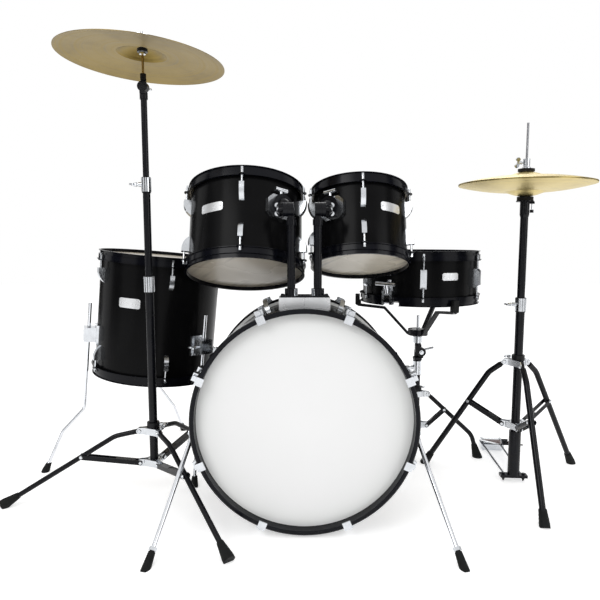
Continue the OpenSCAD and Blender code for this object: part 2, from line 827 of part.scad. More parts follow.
// Plan of a three-armed hub: ring, a pair of ears for each leg and chords between the ears
module hub_plan(ring_r, ear_in, dirs) {
    from = ear_r - 10;
    mid = ear_in + ear_t / 2;
    circle(ring_r);
    for (d = dirs, s = [-1, 1]) rotate(d)
        translate([0, s > 0 ? ear_in : -ear_in - ear_t]) square([ear_r + 8, ear_t]);
    for (i = [0 : 2]) {
        a = dirs[i];
        b = dirs[(i + 1) % 3];
        p = [from * cos(a) - mid * sin(a), from * sin(a) + mid * cos(a)];
        q = [from * cos(b) + mid * sin(b), from * sin(b) - mid * cos(b)];
        translate(p) rotate(atan2(q[1] - p[1], q[0] - p[0])) translate([0, -ear_t / 2])
            square([norm(q - p), ear_t]);
    }
}

// A hub centred on height 0 with its rivet holes; bore is the radius of the tube's hole
module tri_hub(ring_r, bore, ear_in, dirs) {
    difference() {
        translate([0, 0, -hub_h / 2]) linear_extrude(hub_h, convexity = 8)
            hub_plan(ring_r, ear_in, dirs);
        cylinder(r = bore, h = 2 * hub_h, center = true);
        for (d = dirs) rotate(d) translate([ear_r, 0, 0]) rotate([90, 0, 0])
            cylinder(r = rivet_r + pin_fit, h = 30, center = true);
        rotate_extrude() for (m = [0, 1]) mirror([0, m])
            polygon([[ear_r + 1, hub_h / 2 + 1], [ear_r + 9, hub_h / 2 + 1], [ear_r + 9, 2]]);
    }
}

upper_ear_in = tab_t / 2 + 0.4;

function brace_in(leg_d) = leg_d / 2 + 0.5;

// The sliding collar of a tripod with its nylon bush and clamp screw
module leg_collar(at, z, tube_r, dirs, screw_at) {
    bore = tube_r + slide_fit;
    column(at) translate([0, 0, z]) {
        tri_hub(bore + 4, bore, upper_ear_in, dirs);
        difference() {
            translate([0, 0, hub_h / 2 - 1]) cylinder(r = bore + 5, h = 15);
            cylinder(r = bore, h = 60, center = true);
        }
        translate([0, 0, hub_h / 2 + 7]) rotate([90, 0, screw_at]) translate([0, 0, bore + 1])
            wing_screw(8, 3, 22);
    }
}

// The fixed lower hub of a tripod on its tube
module leg_hub(z, tube_r, leg_d, dirs) {
    translate([0, 0, z]) tri_hub(tube_r + 4, tube_r - 0.5, brace_in(leg_d) - 0.4 - ear_t, dirs);
}

// A leg: flat tab with its rivet, bent tube and ribbed rubber foot
module stand_leg(at, dir, p, leg_d, bend, tip_r) {
    n = len(p);
    a = atan2(p[1][1] - p[0][1], p[1][0] - p[0][0]);
    outer = upper_ear_in + ear_t + 0.3;
    tube_path = [for (i = [0 : n - 1]) i == 0 ? along(p[0], p[1], 14) : p[i]];
    difference() {
        column(at) rotate(dir) rotate([90, 0, 0]) {
            translate([p[0][0], p[0][1], -tab_t / 2]) linear_extrude(tab_t) {
                circle(7);
                rotate(a) translate([0, -6]) square([20, 12]);
            }
            translate([p[0][0], p[0][1], -outer - 1.6]) cylinder(r = rivet_r, h = 2 * outer + 3.2);
            for (m = [0, 1]) mirror([0, 0, m]) translate([p[0][0], p[0][1], outer])
                cylinder(r1 = 5.5, r2 = 4, h = 2);
            bent_rod(tube_path, leg_d / 2, bend);
            rubber_tip(along(p[n - 1], p[n - 2], 2.6 * tip_r + 3), p[n - 1], leg_d / 2 + 1.6, tip_r);
        }
        floor_cut(at, 480);
    }
}

// A brace: two strips with a web between them, its hub rivet and the heads of its leg rivet
module stand_brace(at, dir, a, b, leg_d) {
    inner = brace_in(leg_d);
    l = norm(b - a);
    column(at) rotate(dir) rotate([90, 0, 0]) translate([a[0], a[1], 0])
        rotate(atan2(b[1] - a[1], b[0] - a[0])) {
        for (m = [0, 1]) mirror([0, 0, m]) {
            translate([0, 0, inner]) linear_extrude(strip_t) {
                circle(6);
                translate([l, 0]) circle(6);
                translate([0, -6]) square([l, 12]);
            }
            for (x = [0, l]) translate([x, 0, inner + strip_t - 0.2]) cylinder(r1 = 5, r2 = 3.6, h = 2);
        }
        translate([14, 4, -inner - 0.5]) cube([0.42 * l - 14, 2, 2 * inner + 1]);
        cylinder(r = rivet_r, h = 2 * inner + 2, center = true);
    }
}

crash_leg_path = [crash_rivet, crash_knee, crash_foot];
snare_leg_path = [snare_rivet, snare_knee, snare_foot];
hat_leg_path = [hat_rivet, hat_knee, hat_foot];

module crash_leg(i) {
    color("#16171c") stand_leg(crash_at, crash_legs[i], crash_leg_path, crash_leg_d, 60, 14);
}

module crash_brace(i) {
    color("#16171c")
        stand_brace(crash_at, crash_legs[i], crash_hub_rivet, crash_joint, crash_leg_d);
}

module snare_leg(i) {
    color("#16171c") stand_leg(snare_at, snare_legs[i], snare_leg_path, snare_leg_d, 50, 15.5);
}

module snare_brace(i) {
    color("#16171c")
        stand_brace(snare_at, snare_legs[i], snare_hub_rivet, snare_joint, snare_leg_d);
}

module hat_leg(i) {
    color("#16171c") stand_leg(hat_at, hat_legs[i], hat_leg_path, hat_leg_d, 60, 13);
}

module hat_brace(i) {
    color("#16171c") stand_brace(hat_at, hat_legs[i], hat_hub_rivet, hat_joint, hat_leg_d);
}

module crash_collar() {
    color("#c9cccf") leg_collar(crash_at, crash_collar_z, base_tube_d / 2, crash_legs, 90);
}

module snare_collar() {
    color("#c9cccf") leg_collar(snare_at, snare_collar_z, base_tube_d / 2, snare_legs, 134);
}

module hat_collar() {
    color("#c9cccf") leg_collar(hat_at, hat_collar_z, hat_tube_d / 2, hat_legs, -122);
}

// ---- Base tubes of the three stands ----

// A clamp sleeve around the top of a tube of radius r, its wing screw in direction a
module tube_sleeve(r, h, bore, a) {
    difference() {
        union() {
            translate([0, 0, -h]) cylinder(r = r + 3, h = h - 1.5);
            translate([0, 0, -1.5]) cylinder(r1 = r + 3, r2 = r + 1.6, h = 1.5);
            translate([0, 0, -h - 3]) cylinder(r = r + 1.8, h = 4);
            rotate(a) translate([r + 1, 0, -h / 2]) rotate([0, 90, 0]) cylinder(r = 6, h = 9);
        }
        translate([0, 0, -h - 4]) cylinder(r = bore, h = h + 5);
    }
    rotate(a) translate([r + 9, 0, -h / 2]) rotate([90, 0, 90]) wing_screw(6, 3, 26);
}

// A base tube from z0 to z1 with a sleeve at its top
module base_tube(d, z0, z1, sleeve, a) {
    translate([0, 0, z0]) tube(d / 2, tube_wall, z1 - z0);
    translate([0, 0, z1]) tube_sleeve(d / 2, sleeve, d / 2 - 0.5, a);
}

module stand_base_tubes() {
    color("#16171c") {
        column(crash_at) {
            base_tube(base_tube_d, crash_hub_z - 12, crash_base_top, sleeve_h, 105);
            leg_hub(crash_hub_z, base_tube_d / 2, crash_leg_d, crash_legs);
            translate([0, 0, crash_hub_z - 12]) cylinder(r = base_tube_d / 2, h = 3);
        }
        column(snare_at) {
            base_tube(base_tube_d, snare_hub_z - 12, snare_base_top, 46, 180);
            leg_hub(snare_hub_z, base_tube_d / 2, snare_leg_d, snare_legs);
            translate([0, 0, snare_hub_z - 12]) cylinder(r = base_tube_d / 2, h = 3);
        }
        column(hat_at) {
            base_tube(hat_tube_d, hat_hub_z - 20, hat_base_top, 38, 180);
            leg_hub(hat_hub_z, hat_tube_d / 2, hat_leg_d, hat_legs);
            pedal_base();
        }
    }
}

// The hi-hat's foot: open housing, plate with two spikes, radius rods and heel plate
module pedal_base() {
    rotate(pedal_turn) {
        difference() {
            translate([0, 0, 18]) cylinder(r = hat_tube_d / 2 + 4.5, h = hat_hub_z - 36);
            translate([0, 0, 26]) cylinder(r = hat_in_r + 0.3, h = hat_hub_z);
            translate([-8, 0, 40]) cube([16, 40, hat_hub_z - 62]);
        }
        difference() {
            translate([-38, -11, 12.5]) cube([76, 22, 8]);
            for (s = [-1, 1]) translate([s * 46, -20, 10]) rotate(45)
                translate([-7, -7, 0]) cube([14, 14, 20]);
        }
        for (s = [-1, 1]) {
            translate([s * 28, 0, 8]) cylinder(r = 4.5, h = 16);
            translate([s * 28, 0, 0]) cylinder(r1 = 1.2, r2 = 4.5, h = 8);
            bar([s * 24, 6, 17], [s * 29, heel_y - 20, 17], 3);
        }
        difference() {
            union() {
                translate([-board_w / 2 - 1.5, heel_y - 28, 5]) cube([board_w + 3, 46, 16.5]);
                translate([-board_w / 2 + 3, heel_y - 24, 0]) cube([board_w - 6, 38, 6]);
                for (s = [-1, 1]) translate([s * (board_w / 2 - 5) - 4, heel_y - 9, 12])
                    cube([8, 18, heel_z - 5]);
            }
            translate([0, heel_y, heel_z]) rotate([0, 90, 0])
                cylinder(r = 11, h = board_w - 18.5, center = true);
        }
        translate([0, heel_y, heel_z]) rotate([0, 90, 0])
            cylinder(r = 3, h = board_w - 6, center = true);
    }
}

// ---- Crash cymbal stand ----

module crash_middle_tube() {
    color("#16171c") column(crash_at) {
        translate([0, 0, 400]) tube(middle_r, tube_wall, crash_middle_top - 400);
        translate([0, 0, crash_middle_top]) tube_sleeve(middle_r, sleeve_h - 4, middle_r - 0.5, 180);
    }
}

// The upper tube and the lower half of the tilter
module crash_top_tube() {
    color("#16171c") column(crash_at) {
        translate([0, 0, crash_middle_top - 217])
            tube(top_r, tube_wall, crash_tube_end - crash_middle_top + 217);
        translate([0, 0, crash_tube_end - 16]) cylinder(r = top_r + 2.2, h = 16.5);
        difference() {
            translate([-7, -13, crash_tube_end - 4]) cube([14, 22, 8]);
            translate([0, 8, crash_tilt_z]) rotate([90, 0, 0])
                cylinder(r = 13.4, h = 11 + tilter_gap, $fn = 64);
        }
        translate([0, -2.4 - tilter_gap, crash_tilt_z]) rotate([90, 0, 0]) cylinder(r = 13, h = 9);
        translate([0, -6, crash_tilt_z]) rotate([-90, 0, 0]) {
            cylinder(r = 3.5, h = 6 + 8 + 4);
            translate([0, 0, 6 + 8 + tilter_gap]) cylinder(r = 5.5, h = 2);
            translate([0, 0, 6 + 8 + tilter_gap + 1.6]) wing_screw(2, 3.5, 28);
        }
    }
}

// The upper half of the tilter: disc, upright rod, seat, felts and wing nut
module crash_tilter() {
    color("#c9cccf") column(crash_at) {
        difference() {
            union() {
                translate([0, -2.4, crash_tilt_z]) rotate([-90, 0, 0]) cylinder(r = 13, h = 10);
                translate([-6, -2.4, crash_tilt_z]) cube([12, 10, 22]);
                translate([0, 0, crash_tilt_z + 16]) cylinder(r = 7.5, h = 16);
            }
            translate([0, -20, crash_tilt_z]) rotate([-90, 0, 0]) cylinder(r = 3.5 + pin_fit, h = 40);
        }
        translate([0, 0, crash_tilt_z + 30]) cylinder(r = 3, h = crash_z + 5 - crash_tilt_z);
        translate([0, 0, crash_z - 20]) cylinder(r = 8, h = 6);
        translate([0, 0, crash_z - 15]) cylinder(r = 13, h = 8);
        translate([0, 0, crash_z - 7]) cylinder(r1 = 13, r2 = 4.4, h = 4.6);
        translate([0, 0, crash_z]) sphere(6);
        translate([0, 0, crash_z - 4]) cylinder(r = 4, h = 8);
        translate([0, 0, crash_z + 3]) cylinder(r1 = 4.4, r2 = 13, h = 4.6);
        translate([0, 0, crash_z + 7.5]) cylinder(r = 13, h = 8);
        translate([0, 0, crash_z + 15]) cylinder(r = 9, h = 1.6);
        translate([0, 0, crash_z + 16]) wing_screw(1, 5, 26);
    }
}

function cymbal_z(r, edge_r, bell_r, bow, bell) =
    r < bell_r ? bow + bell * cos(90 * r / bell_r)
        : bow * (1 - pow((r - bell_r) / (edge_r - bell_r), 1.7));

// A cymbal with its edge at height 0, its bell upwards
module cymbal(edge_r, bell_r, bow, bell, hole_r, t) {
    n = 12;
    top = concat(
        [for (i = [0 : n - 1]) let (r = hole_r + (bell_r - hole_r) * i / n)
            [r, cymbal_z(r, edge_r, bell_r, bow, bell)]],
        [for (i = [0 : n]) let (r = bell_r + (edge_r - bell_r) * i / n)
            [r, cymbal_z(r, edge_r, bell_r, bow, bell)]]);
    under = [for (i = [len(top) - 1 : -1 : 0]) top[i] - [0, t]];
    rotate_extrude(convexity = 6) polygon(concat(top, under));
}

crash_bow = 16;
crash_bell = 20;

module crash_cymbal() {
    color("#b79b4a") column(crash_at) translate([0, 0, crash_z]) rotate([0, crash_roll, 0])
        translate([0, 0, 0.6 - crash_bow - crash_bell])
            cymbal(crash_d / 2, 62, crash_bow, crash_bell, 6.6, 1.2);
}

// ---- Snare drum ----

snare_lug_start = -98.4;
strainer_at = snare_lug_start - 30;
butt_at = strainer_at + 180;
lever_r = snare_d / 2 + 24;
lever_z = 3;

module snare_shell() {
    color("#17181b") snare_frame() drum_shell(snare_d, snare_depth);
}

module snare_heads() {
    color("#cfc8b8") snare_frame() drum_heads(snare_d, snare_depth);
}

// The snare drum's rims; the lower one has a gate at each end of the wires
module snare_rims() {
    color("#0d0e12") snare_frame() difference() {
        drum_rims(snare_d, snare_depth, snare_lugs, snare_lug_start);
        for (a = [strainer_at, butt_at]) rotate(a)
            translate([snare_d / 2 - 2, -26, -20]) cube([20, 52, 24]);
    }
}

// A lug with a rod in each end, at the middle of the shell
module double_lug() {
    l = 56;
    p = 20;
    difference() {
        translate([snare_d / 2, 0, -l / 2]) rotate([90, 0, 0]) translate([0, 0, -9])
            linear_extrude(18) polygon([
                [-4, 0], [p - 6, 0], [p, 7], [p, l - 7], [p - 6, l], [-4, l]
            ]);
        cylinder(r = snare_d / 2 + seat, h = 4 * l, center = true, $fn = 128);
        for (m = [0, 1]) mirror([0, 0, m]) translate([rod_at(snare_d), 0, l / 2 - 12])
            cylinder(r = rod_r + rod_clear, h = 20);
    }
}

// Housing of the throw-off that holds the lever's hinge
module strainer() {
    r = snare_d / 2;
    difference() {
        union() {
            translate([r - 8, -16.5, 24]) cube([30, 33, 36]);
            translate([r + 13, -16.5, -5]) cube([17, 33, 40]);
        }
        cylinder(r = r + seat, h = 300, center = true, $fn = 128);
        translate([lever_r - 8, -8.5, -10]) cube([30, 17, 80]);
    }
    translate([lever_r, -12, lever_z]) rotate([-90, 0, 0]) cylinder(r = 3, h = 24);
    translate([r + 12, 0, 58]) cylinder(r = 6, h = 9, $fn = 32);
}

module butt_plate() {
    r = snare_d / 2;
    difference() {
        union() {
            translate([r - 8, -16, 22]) cube([22, 32, 26]);
            translate([r + 6, -11, 30]) cube([12, 22, 10]);
        }
        cylinder(r = r + seat, h = 300, center = true, $fn = 128);
    }
    for (s = [-1, 1]) translate([r + 12, s * 11, 35]) rotate([0, 90, 0]) cylinder(r = 3.5, h = 5);
}

// The wires under the lower head, between two end plates
module snare_wires() {
    reach = snare_d / 2 - 43;
    for (s = [-1, 1]) translate([s > 0 ? reach - 5 : -reach - 7, -24, -4.4]) cube([12, 48, 2]);
    for (i = [0 : 11]) translate([-reach, (i - 5.5) * 3.8, -2.8]) rotate([0, 90, 0])
        cylinder(r = 0.9, h = 2 * reach, $fn = 12);
}

module snare_fittings() {
    color("#c9cccf") snare_frame() {
        around(snare_lugs, snare_lug_start) {
            translate([0, 0, snare_depth / 2]) double_lug();
            translate([0, 0, snare_depth])
                tension_rod(snare_d, ear_top, -snare_depth / 2 + 18, head_rise);
            mirror([0, 0, 1]) tension_rod(snare_d, ear_top, -snare_depth / 2 + 18);
        }
        rotate(strainer_at) strainer();
        rotate(butt_at) butt_plate();
        rotate(strainer_at) snare_wires();
    }
}

module snare_lever() {
    color("#c9cccf") snare_frame() rotate(strainer_at) {
        difference() {
            union() {
                translate([lever_r, 8, lever_z]) rotate([90, 0, 0]) cylinder(r = 6, h = 16);
                translate([lever_r - 3, -8, lever_z]) cube([9, 16, 30]);
                bar([lever_r + 2, 0, lever_z + 24], [lever_r + 12, 0, 56], 5);
            }
            translate([lever_r, 20, lever_z]) rotate([90, 0, 0]) cylinder(r = 3 + pin_fit, h = 40);
        }
        translate([lever_r + 12, -32.5, 56]) rotate([-90, 0, 0]) cylinder(r = 5.5, h = 65);
    }
}

// ---- Snare stand ----

basket_dirs = [-70, 50, 170];
snare_tilt_x = 11;

// The sliding post with the lower half of the tilter and its lever
module snare_post() {
    color("#16171c") column(snare_at) {
        translate([0, 0, 170]) tube(middle_r, tube_wall, snare_base_top - 170 + 8);
        translate([0, 0, snare_base_top + 3]) cylinder(r = 14, h = 8);
        difference() {
            union() {
                translate([-8, 3, snare_base_top + 6]) cube([snare_tilt_x + 18, 12, 26]);
                translate([snare_tilt_x, 15, snare_tilt_z]) rotate([90, 0, 0]) cylinder(r = 15, h = 12);
            }
            translate([-20, 15.2, snare_base_top]) cube([60, 20, 60]);
        }
        translate([-12, -15, snare_base_top + 3]) cube([24, 30, 8]);
        translate([snare_tilt_x, 4, snare_tilt_z]) rotate([90, 0, 0]) {
            cylinder(r = 4, h = 24);
            translate([0, 0, 4 + 11 + 2 * tilter_gap]) cylinder(r = 7, h = 3);
        }
        translate([snare_tilt_x, 13, snare_tilt_z]) rotate([-90, 0, 0]) cylinder(r = 6, h = 8);
        bar([snare_tilt_x, 18, snare_tilt_z], [snare_tilt_x + 46, 22, snare_tilt_z + 10], 4);
    }
}

// The basket: upper half of the tilter, rod, hub, nut and three arms with rubber tips
module snare_basket() {
    color("#16171c") column(snare_at) {
        difference() {
            union() {
                translate([snare_tilt_x, 3 - tilter_gap, snare_tilt_z]) rotate([90, 0, 0])
                    cylinder(r = 15, h = 14 - 2 * tilter_gap);
                translate([-9, -11 + tilter_gap, snare_tilt_z]) cube([20, 14 - 2 * tilter_gap, 26]);
                translate([0, -4, snare_tilt_z + 22]) cylinder(r = 10, h = 12);
            }
            translate([snare_tilt_x, 20, snare_tilt_z]) rotate([90, 0, 0])
                cylinder(r = 4 + pin_fit, h = 60);
        }
        translate([0, 0, 365]) cylinder(r = 15, h = 20, $fn = 32);
        translate([0, 0, 360]) cylinder(r = 5, h = 94);
        difference() {
            translate([0, 0, basket_hub_z - 10]) cylinder(r = 32, h = 20);
            for (d = basket_dirs) rotate(d) translate([18, -7.3, basket_hub_z - 12]) cube([30, 14.6, 24]);
        }
        for (d = basket_dirs) rotate(d) basket_arm();
    }
}

module basket_arm() {
    tip = snare_d / 2 + 20;
    pts = [[16, basket_hub_z - 5], [32, basket_hub_z - 5], [tip - 90, snare_z - 25],
        [tip - 6, snare_z - 17], [tip, snare_z - 13]];
    rotate([90, 0, 0]) translate([0, 0, -7]) linear_extrude(14) difference() {
        for (i = [0 : len(pts) - 2]) {
            v = pts[i + 1] - pts[i];
            translate(pts[i]) rotate(atan2(v[1], v[0])) translate([-1, -4]) square([norm(v) + 2, 8]);
        }
    }
    translate([tip, 0, snare_z - 18]) cylinder(r = 3.5, h = 8);
    difference() {
        translate([tip - 13, -9, snare_z - 15]) cube([18, 18, 34]);
        translate([0, 0, snare_z - seat]) cylinder(r = rim_r(snare_d) + seat, h = 100);
    }
}

// ---- Hi-hat ----

hat_bow = 18;
hat_bell = 14;
hat_bell_r = 55;
cymbal_t = 1.4;

// The sliding tube with the cup and felt that carry the bottom cymbal
module hat_upper_tube() {
    seat_z = hat_z - cymbal_t - hat_bow - hat_bell - seat;
    color("#16171c") column(hat_at) {
        translate([0, 0, 400]) tube(hat_upper_r, tube_wall, hat_upper_top - 400);
        difference() {
            union() {
                translate([0, 0, hat_upper_top - 4]) cylinder(r1 = hat_upper_r, r2 = 12.5, h = 8);
                translate([0, 0, hat_upper_top + 4]) cylinder(r = 12.5, h = seat_z - hat_upper_top - 17);
                translate([0, 0, seat_z - 13.4]) cylinder(r = 23, h = 3);
                translate([0, 0, seat_z - 11]) cylinder(r = 21.5, h = 11);
                translate([13, -5, seat_z - 19]) cube([12, 10, 6.5]);
                translate([0, 0, seat_z - 1]) cylinder(r = 5.6, h = 8);
                translate([0, 0, 402]) cylinder(r = hat_upper_r - 0.5, h = 14);
                translate([19.5, 0, seat_z - 38]) cylinder(r = 1.6, h = 20);
                translate([19.5, 0, seat_z - 43]) cylinder(r = 5, h = 8);
            }
            translate([0, 0, 380]) cylinder(r = hat_rod_r + slide_fit, h = 500);
        }
    }
}

module hat_bottom_cymbal() {
    color("#cdb368") column(hat_at) translate([0, 0, hat_z - cymbal_t]) mirror([0, 0, 1])
        cymbal(hat_d / 2, hat_bell_r, hat_bow, hat_bell, 6.4, cymbal_t);
}

// The top cymbal with its clutch: tube, two felts, lock nuts and wing screw
module hat_top_cymbal() {
    edge = hat_z + hat_gap + cymbal_t;
    top = edge + hat_bow + hat_bell;
    color("#cdb368") column(hat_at) {
        translate([0, 0, edge]) cymbal(hat_d / 2, hat_bell_r, hat_bow, hat_bell, 6.4, cymbal_t);
        difference() {
            union() {
                translate([0, 0, top - 12]) cylinder(r = 5.6, h = 46);
                translate([0, 0, top - 12]) cylinder(r = 10, h = 4);
                translate([0, 0, top - 8]) cylinder(r = 9, h = 5.6);
                translate([0, 0, top + seat]) cylinder(r = 22, h = 7);
                translate([0, 0, top + 7]) cylinder(r = 11, h = 5);
                translate([0, 0, top + 14]) cylinder(r = 9, h = 20);
                translate([0, 0, top + 11]) cylinder(r = 7, h = 4);
            }
            translate([0, 0, top - 20]) cylinder(r = hat_rod_r + slide_fit, h = 80);
        }
        translate([-8, 0, top + 24]) rotate([90, 0, -90]) rotate(60) wing_screw(6, 3, 28);
    }
}

rod_foot_z = 112;

// The pull rod with the strap that runs down to the footboard's toe
module hat_pull_rod() {
    toe = [0, heel_y - (board_len - 8) * cos(board_slope), heel_z + (board_len - 8) * sin(board_slope)];
    color("#c9cccf") column(hat_at) {
        translate([0, 0, rod_foot_z]) cylinder(r = hat_rod_r, h = hat_rod_top - rod_foot_z);
        translate([0, 0, rod_foot_z - 8]) cylinder(r = 6, h = 14);
        rotate(pedal_turn) towards([0, 2, rod_foot_z - 2], toe + [0, -2, 10])
            translate([-6, -1, 0]) cube([12, 2, norm(toe + [0, -4, 12 - rod_foot_z])]);
    }
}

// The footboard: heel hinge, ribbed board and toe stop
module hat_footboard() {
    color("#8d9095") column(hat_at) rotate(pedal_turn) translate([0, heel_y, heel_z])
        rotate([-board_slope, 0, 0]) mirror([0, 1, 0]) difference() {
            union() {
                rotate([0, 90, 0]) cylinder(r = 7, h = board_w - 20, center = true);
                translate([-(board_w - 20) / 2, 0, -2]) cube([board_w - 20, 30, board_t]);
                translate([-board_w / 2, 14, -2]) cube([board_w, board_len - 14, board_t]);
                for (i = [0 : 9]) translate([-board_w / 2 + 6, 34 + i * 17, 1])
                    cube([board_w - 12, 8, 2.4]);
                translate([-board_w / 2 + 8, board_len - 5, -2]) cube([board_w - 16, 5, 18]);
            }
            rotate([0, 90, 0]) cylinder(r = 3 + pin_fit, h = board_w + 20, center = true);
            translate([-8, board_len - 14, -10]) cube([16, 30, 40]);
        }
}

module crash_leg_1() {
    crash_leg(0);
}

module crash_leg_2() {
    crash_leg(1);
}

module crash_leg_3() {
    crash_leg(2);
}

module crash_brace_1() {
    crash_brace(0);
}

module crash_brace_2() {
    crash_brace(1);
}

module crash_brace_3() {
    crash_brace(2);
}

module snare_leg_1() {
    snare_leg(0);
}

module snare_leg_2() {
    snare_leg(1);
}

module snare_leg_3() {
    snare_leg(2);
}

module snare_brace_1() {
    snare_brace(0);
}

module snare_brace_2() {
    snare_brace(1);
}

module snare_brace_3() {
    snare_brace(2);
}

module hat_leg_1() {
    hat_leg(0);
}

module hat_leg_2() {
    hat_leg(1);
}

module hat_leg_3() {
    hat_leg(2);
}

module hat_brace_1() {
    hat_brace(0);
}

module hat_brace_2() {
    hat_brace(1);
}

module hat_brace_3() {
    hat_brace(2);
}

bass_shell();
bass_heads();
bass_hoops();
bass_fittings();
tom_mount_base();
floor_tom_shell();
floor_tom_heads();
floor_tom_rims();
floor_tom_fittings();
floor_tom_legs();
stand_base_tubes();
left_spur();
right_spur();
left_tom_post();
right_tom_post();
left_tom_shell();
left_tom_heads();
left_tom_rims();
left_tom_fittings();
right_tom_shell();
right_tom_heads();
right_tom_rims();
right_tom_fittings();
crash_collar();
crash_leg_1();
crash_leg_2();
crash_leg_3();
crash_brace_1();
crash_brace_2();
crash_brace_3();
crash_middle_tube();
crash_top_tube();
crash_tilter();
crash_cymbal();
snare_shell();
snare_heads();
snare_rims();
snare_fittings();
snare_lever();
snare_collar();
snare_leg_1();
snare_leg_2();
snare_leg_3();
snare_brace_1();
snare_brace_2();
snare_brace_3();
snare_post();
snare_basket();
hat_collar();
hat_leg_1();
hat_leg_2();
hat_leg_3();
hat_brace_1();
hat_brace_2();
hat_brace_3();
hat_upper_tube();
hat_bottom_cymbal();
hat_top_cymbal();
hat_pull_rod();
hat_footboard();
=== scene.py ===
import json
import math

import bpy
import numpy as np
from mathutils import Matrix, Vector


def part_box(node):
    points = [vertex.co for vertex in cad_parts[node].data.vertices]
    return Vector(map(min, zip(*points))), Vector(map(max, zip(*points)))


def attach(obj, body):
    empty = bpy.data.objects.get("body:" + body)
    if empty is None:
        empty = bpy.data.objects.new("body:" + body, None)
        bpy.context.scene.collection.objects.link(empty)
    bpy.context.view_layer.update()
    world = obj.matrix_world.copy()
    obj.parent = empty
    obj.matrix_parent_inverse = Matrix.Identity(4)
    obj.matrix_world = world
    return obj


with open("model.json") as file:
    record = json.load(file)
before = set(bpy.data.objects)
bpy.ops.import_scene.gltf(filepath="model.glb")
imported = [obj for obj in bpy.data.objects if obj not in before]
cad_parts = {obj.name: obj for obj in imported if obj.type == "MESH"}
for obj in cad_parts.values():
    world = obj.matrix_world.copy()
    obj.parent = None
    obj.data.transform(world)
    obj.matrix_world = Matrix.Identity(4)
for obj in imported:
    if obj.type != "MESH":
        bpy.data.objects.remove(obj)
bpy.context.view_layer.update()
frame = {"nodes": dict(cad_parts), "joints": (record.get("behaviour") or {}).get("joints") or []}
nodes = frame["nodes"]
joints = {joint["name"]: joint for joint in frame["joints"]}
print("frame loaded:", len(nodes), "nodes")


def jointPlace(name):
    return Vector(joints[name]["pos_m"])


# the middle of each stand's column, on the floor plan
columns = {
    "crash": jointPlace("crash_tripod_fold"),
    "snare": jointPlace("snare_tripod_fold"),
    "hat": jointPlace("hat_tripod_fold"),
}


# a display color as linear light
def srgb(r, g, b):
    return tuple(((c / 255 + 0.055) / 1.055) ** 2.4 if c > 10 else c / 255 / 12.92 for c in (r, g, b))


# a color made darker or lighter, with full alpha
def tinted(color, factor):
    return tuple(min(1.0, c * factor) for c in color) + (1.0,)


# short calls that build one material's node tree
class NodeSheet:
    def __init__(self, name):
        self.material = bpy.data.materials.new(name)
        self.material.use_nodes = True
        self.tree = self.material.node_tree
        self.shader = self.tree.nodes["Principled BSDF"]

    def add(self, kind, **sockets):
        node = self.tree.nodes.new(kind)
        for key, value in sockets.items():
            if key in node.inputs:
                node.inputs[key].default_value = value
            else:
                setattr(node, key, value)
        return node

    def link(self, source, target):
        self.tree.links.new(source, target)

    def objectPoint(self, centre=None, turn=None):
        point = self.add("ShaderNodeTexCoord").outputs["Object"]
        if centre is None:
            return point
        mapping = self.add("ShaderNodeMapping", vector_type="TEXTURE")
        mapping.inputs["Location"].default_value = centre
        mapping.inputs["Rotation"].default_value = turn or (0, 0, 0)
        self.link(point, mapping.inputs["Vector"])
        return mapping.outputs["Vector"]

    def noise(self, point, scale, detail=3.0, rough=0.5):
        noise = self.add("ShaderNodeTexNoise", Scale=scale, Detail=detail, Roughness=rough)
        self.link(point, noise.inputs["Vector"])
        return noise.outputs["Fac"]

    def ramp(self, value, stops):
        ramp = self.add("ShaderNodeValToRGB")
        while len(ramp.color_ramp.elements) < len(stops):
            ramp.color_ramp.elements.new(0.5)
        for element, (place, color) in zip(ramp.color_ramp.elements, stops):
            element.position = place
            element.color = color
        self.link(value, ramp.inputs["Fac"])
        return ramp.outputs["Color"]

    def spread(self, value, low, high, source=(0.3, 0.7)):
        span = self.add("ShaderNodeMapRange")
        span.inputs["From Min"].default_value = source[0]
        span.inputs["From Max"].default_value = source[1]
        span.inputs["To Min"].default_value = low
        span.inputs["To Max"].default_value = high
        self.link(value, span.inputs["Value"])
        return span.outputs["Result"]

    def math(self, operation, a, b=None):
        node = self.add("ShaderNodeMath", operation=operation)
        for socket, value in zip(node.inputs, (a, b)):
            if value is None:
                continue
            if isinstance(value, (int, float)):
                socket.default_value = value
            else:
                self.link(value, socket)
        return node.outputs["Value"]

    def bump(self, height, strength, distance, below=None):
        bump = self.add("ShaderNodeBump", Strength=strength, Distance=distance)
        self.link(height, bump.inputs["Height"])
        if below is not None:
            self.link(below, bump.inputs["Normal"])
        return bump.outputs["Normal"]


def surface(name, color, metal=0.0, rough=(0.3, 0.4), tone=0.12, grain=60.0, bump=(0.1, 0.0002),
            bumpScale=400.0, specular=0.5, sheen=0.0):
    sheet = NodeSheet(name)
    point = sheet.objectPoint()
    broad = sheet.noise(point, grain)
    fine = sheet.noise(point, bumpScale, 2.0)
    stops = [(0.35, tinted(color, 1 - tone)), (0.65, tinted(color, 1 + tone))]
    sheet.link(sheet.ramp(broad, stops), sheet.shader.inputs["Base Color"])
    smudge = sheet.noise(point, grain * 0.4, 4.0, 0.6)
    sheet.link(sheet.spread(smudge, *rough), sheet.shader.inputs["Roughness"])
    sheet.link(sheet.bump(fine, *bump), sheet.shader.inputs["Normal"])
    sheet.shader.inputs["Metallic"].default_value = metal
    sheet.shader.inputs["Specular IOR Level"].default_value = specular
    sheet.shader.inputs["Sheen Weight"].default_value = sheen
    return sheet.material


# the bronze's noise sizes, how its bands and clouds mix, and how deep its grooves and hammer marks are
bronze = {"groove": 1400.0, "band": 120.0, "hammer": 38.0, "cloud": 9.0, "bandShare": 0.55,
          "grooveDepth": 0.00012, "dentDepth": 0.0006}


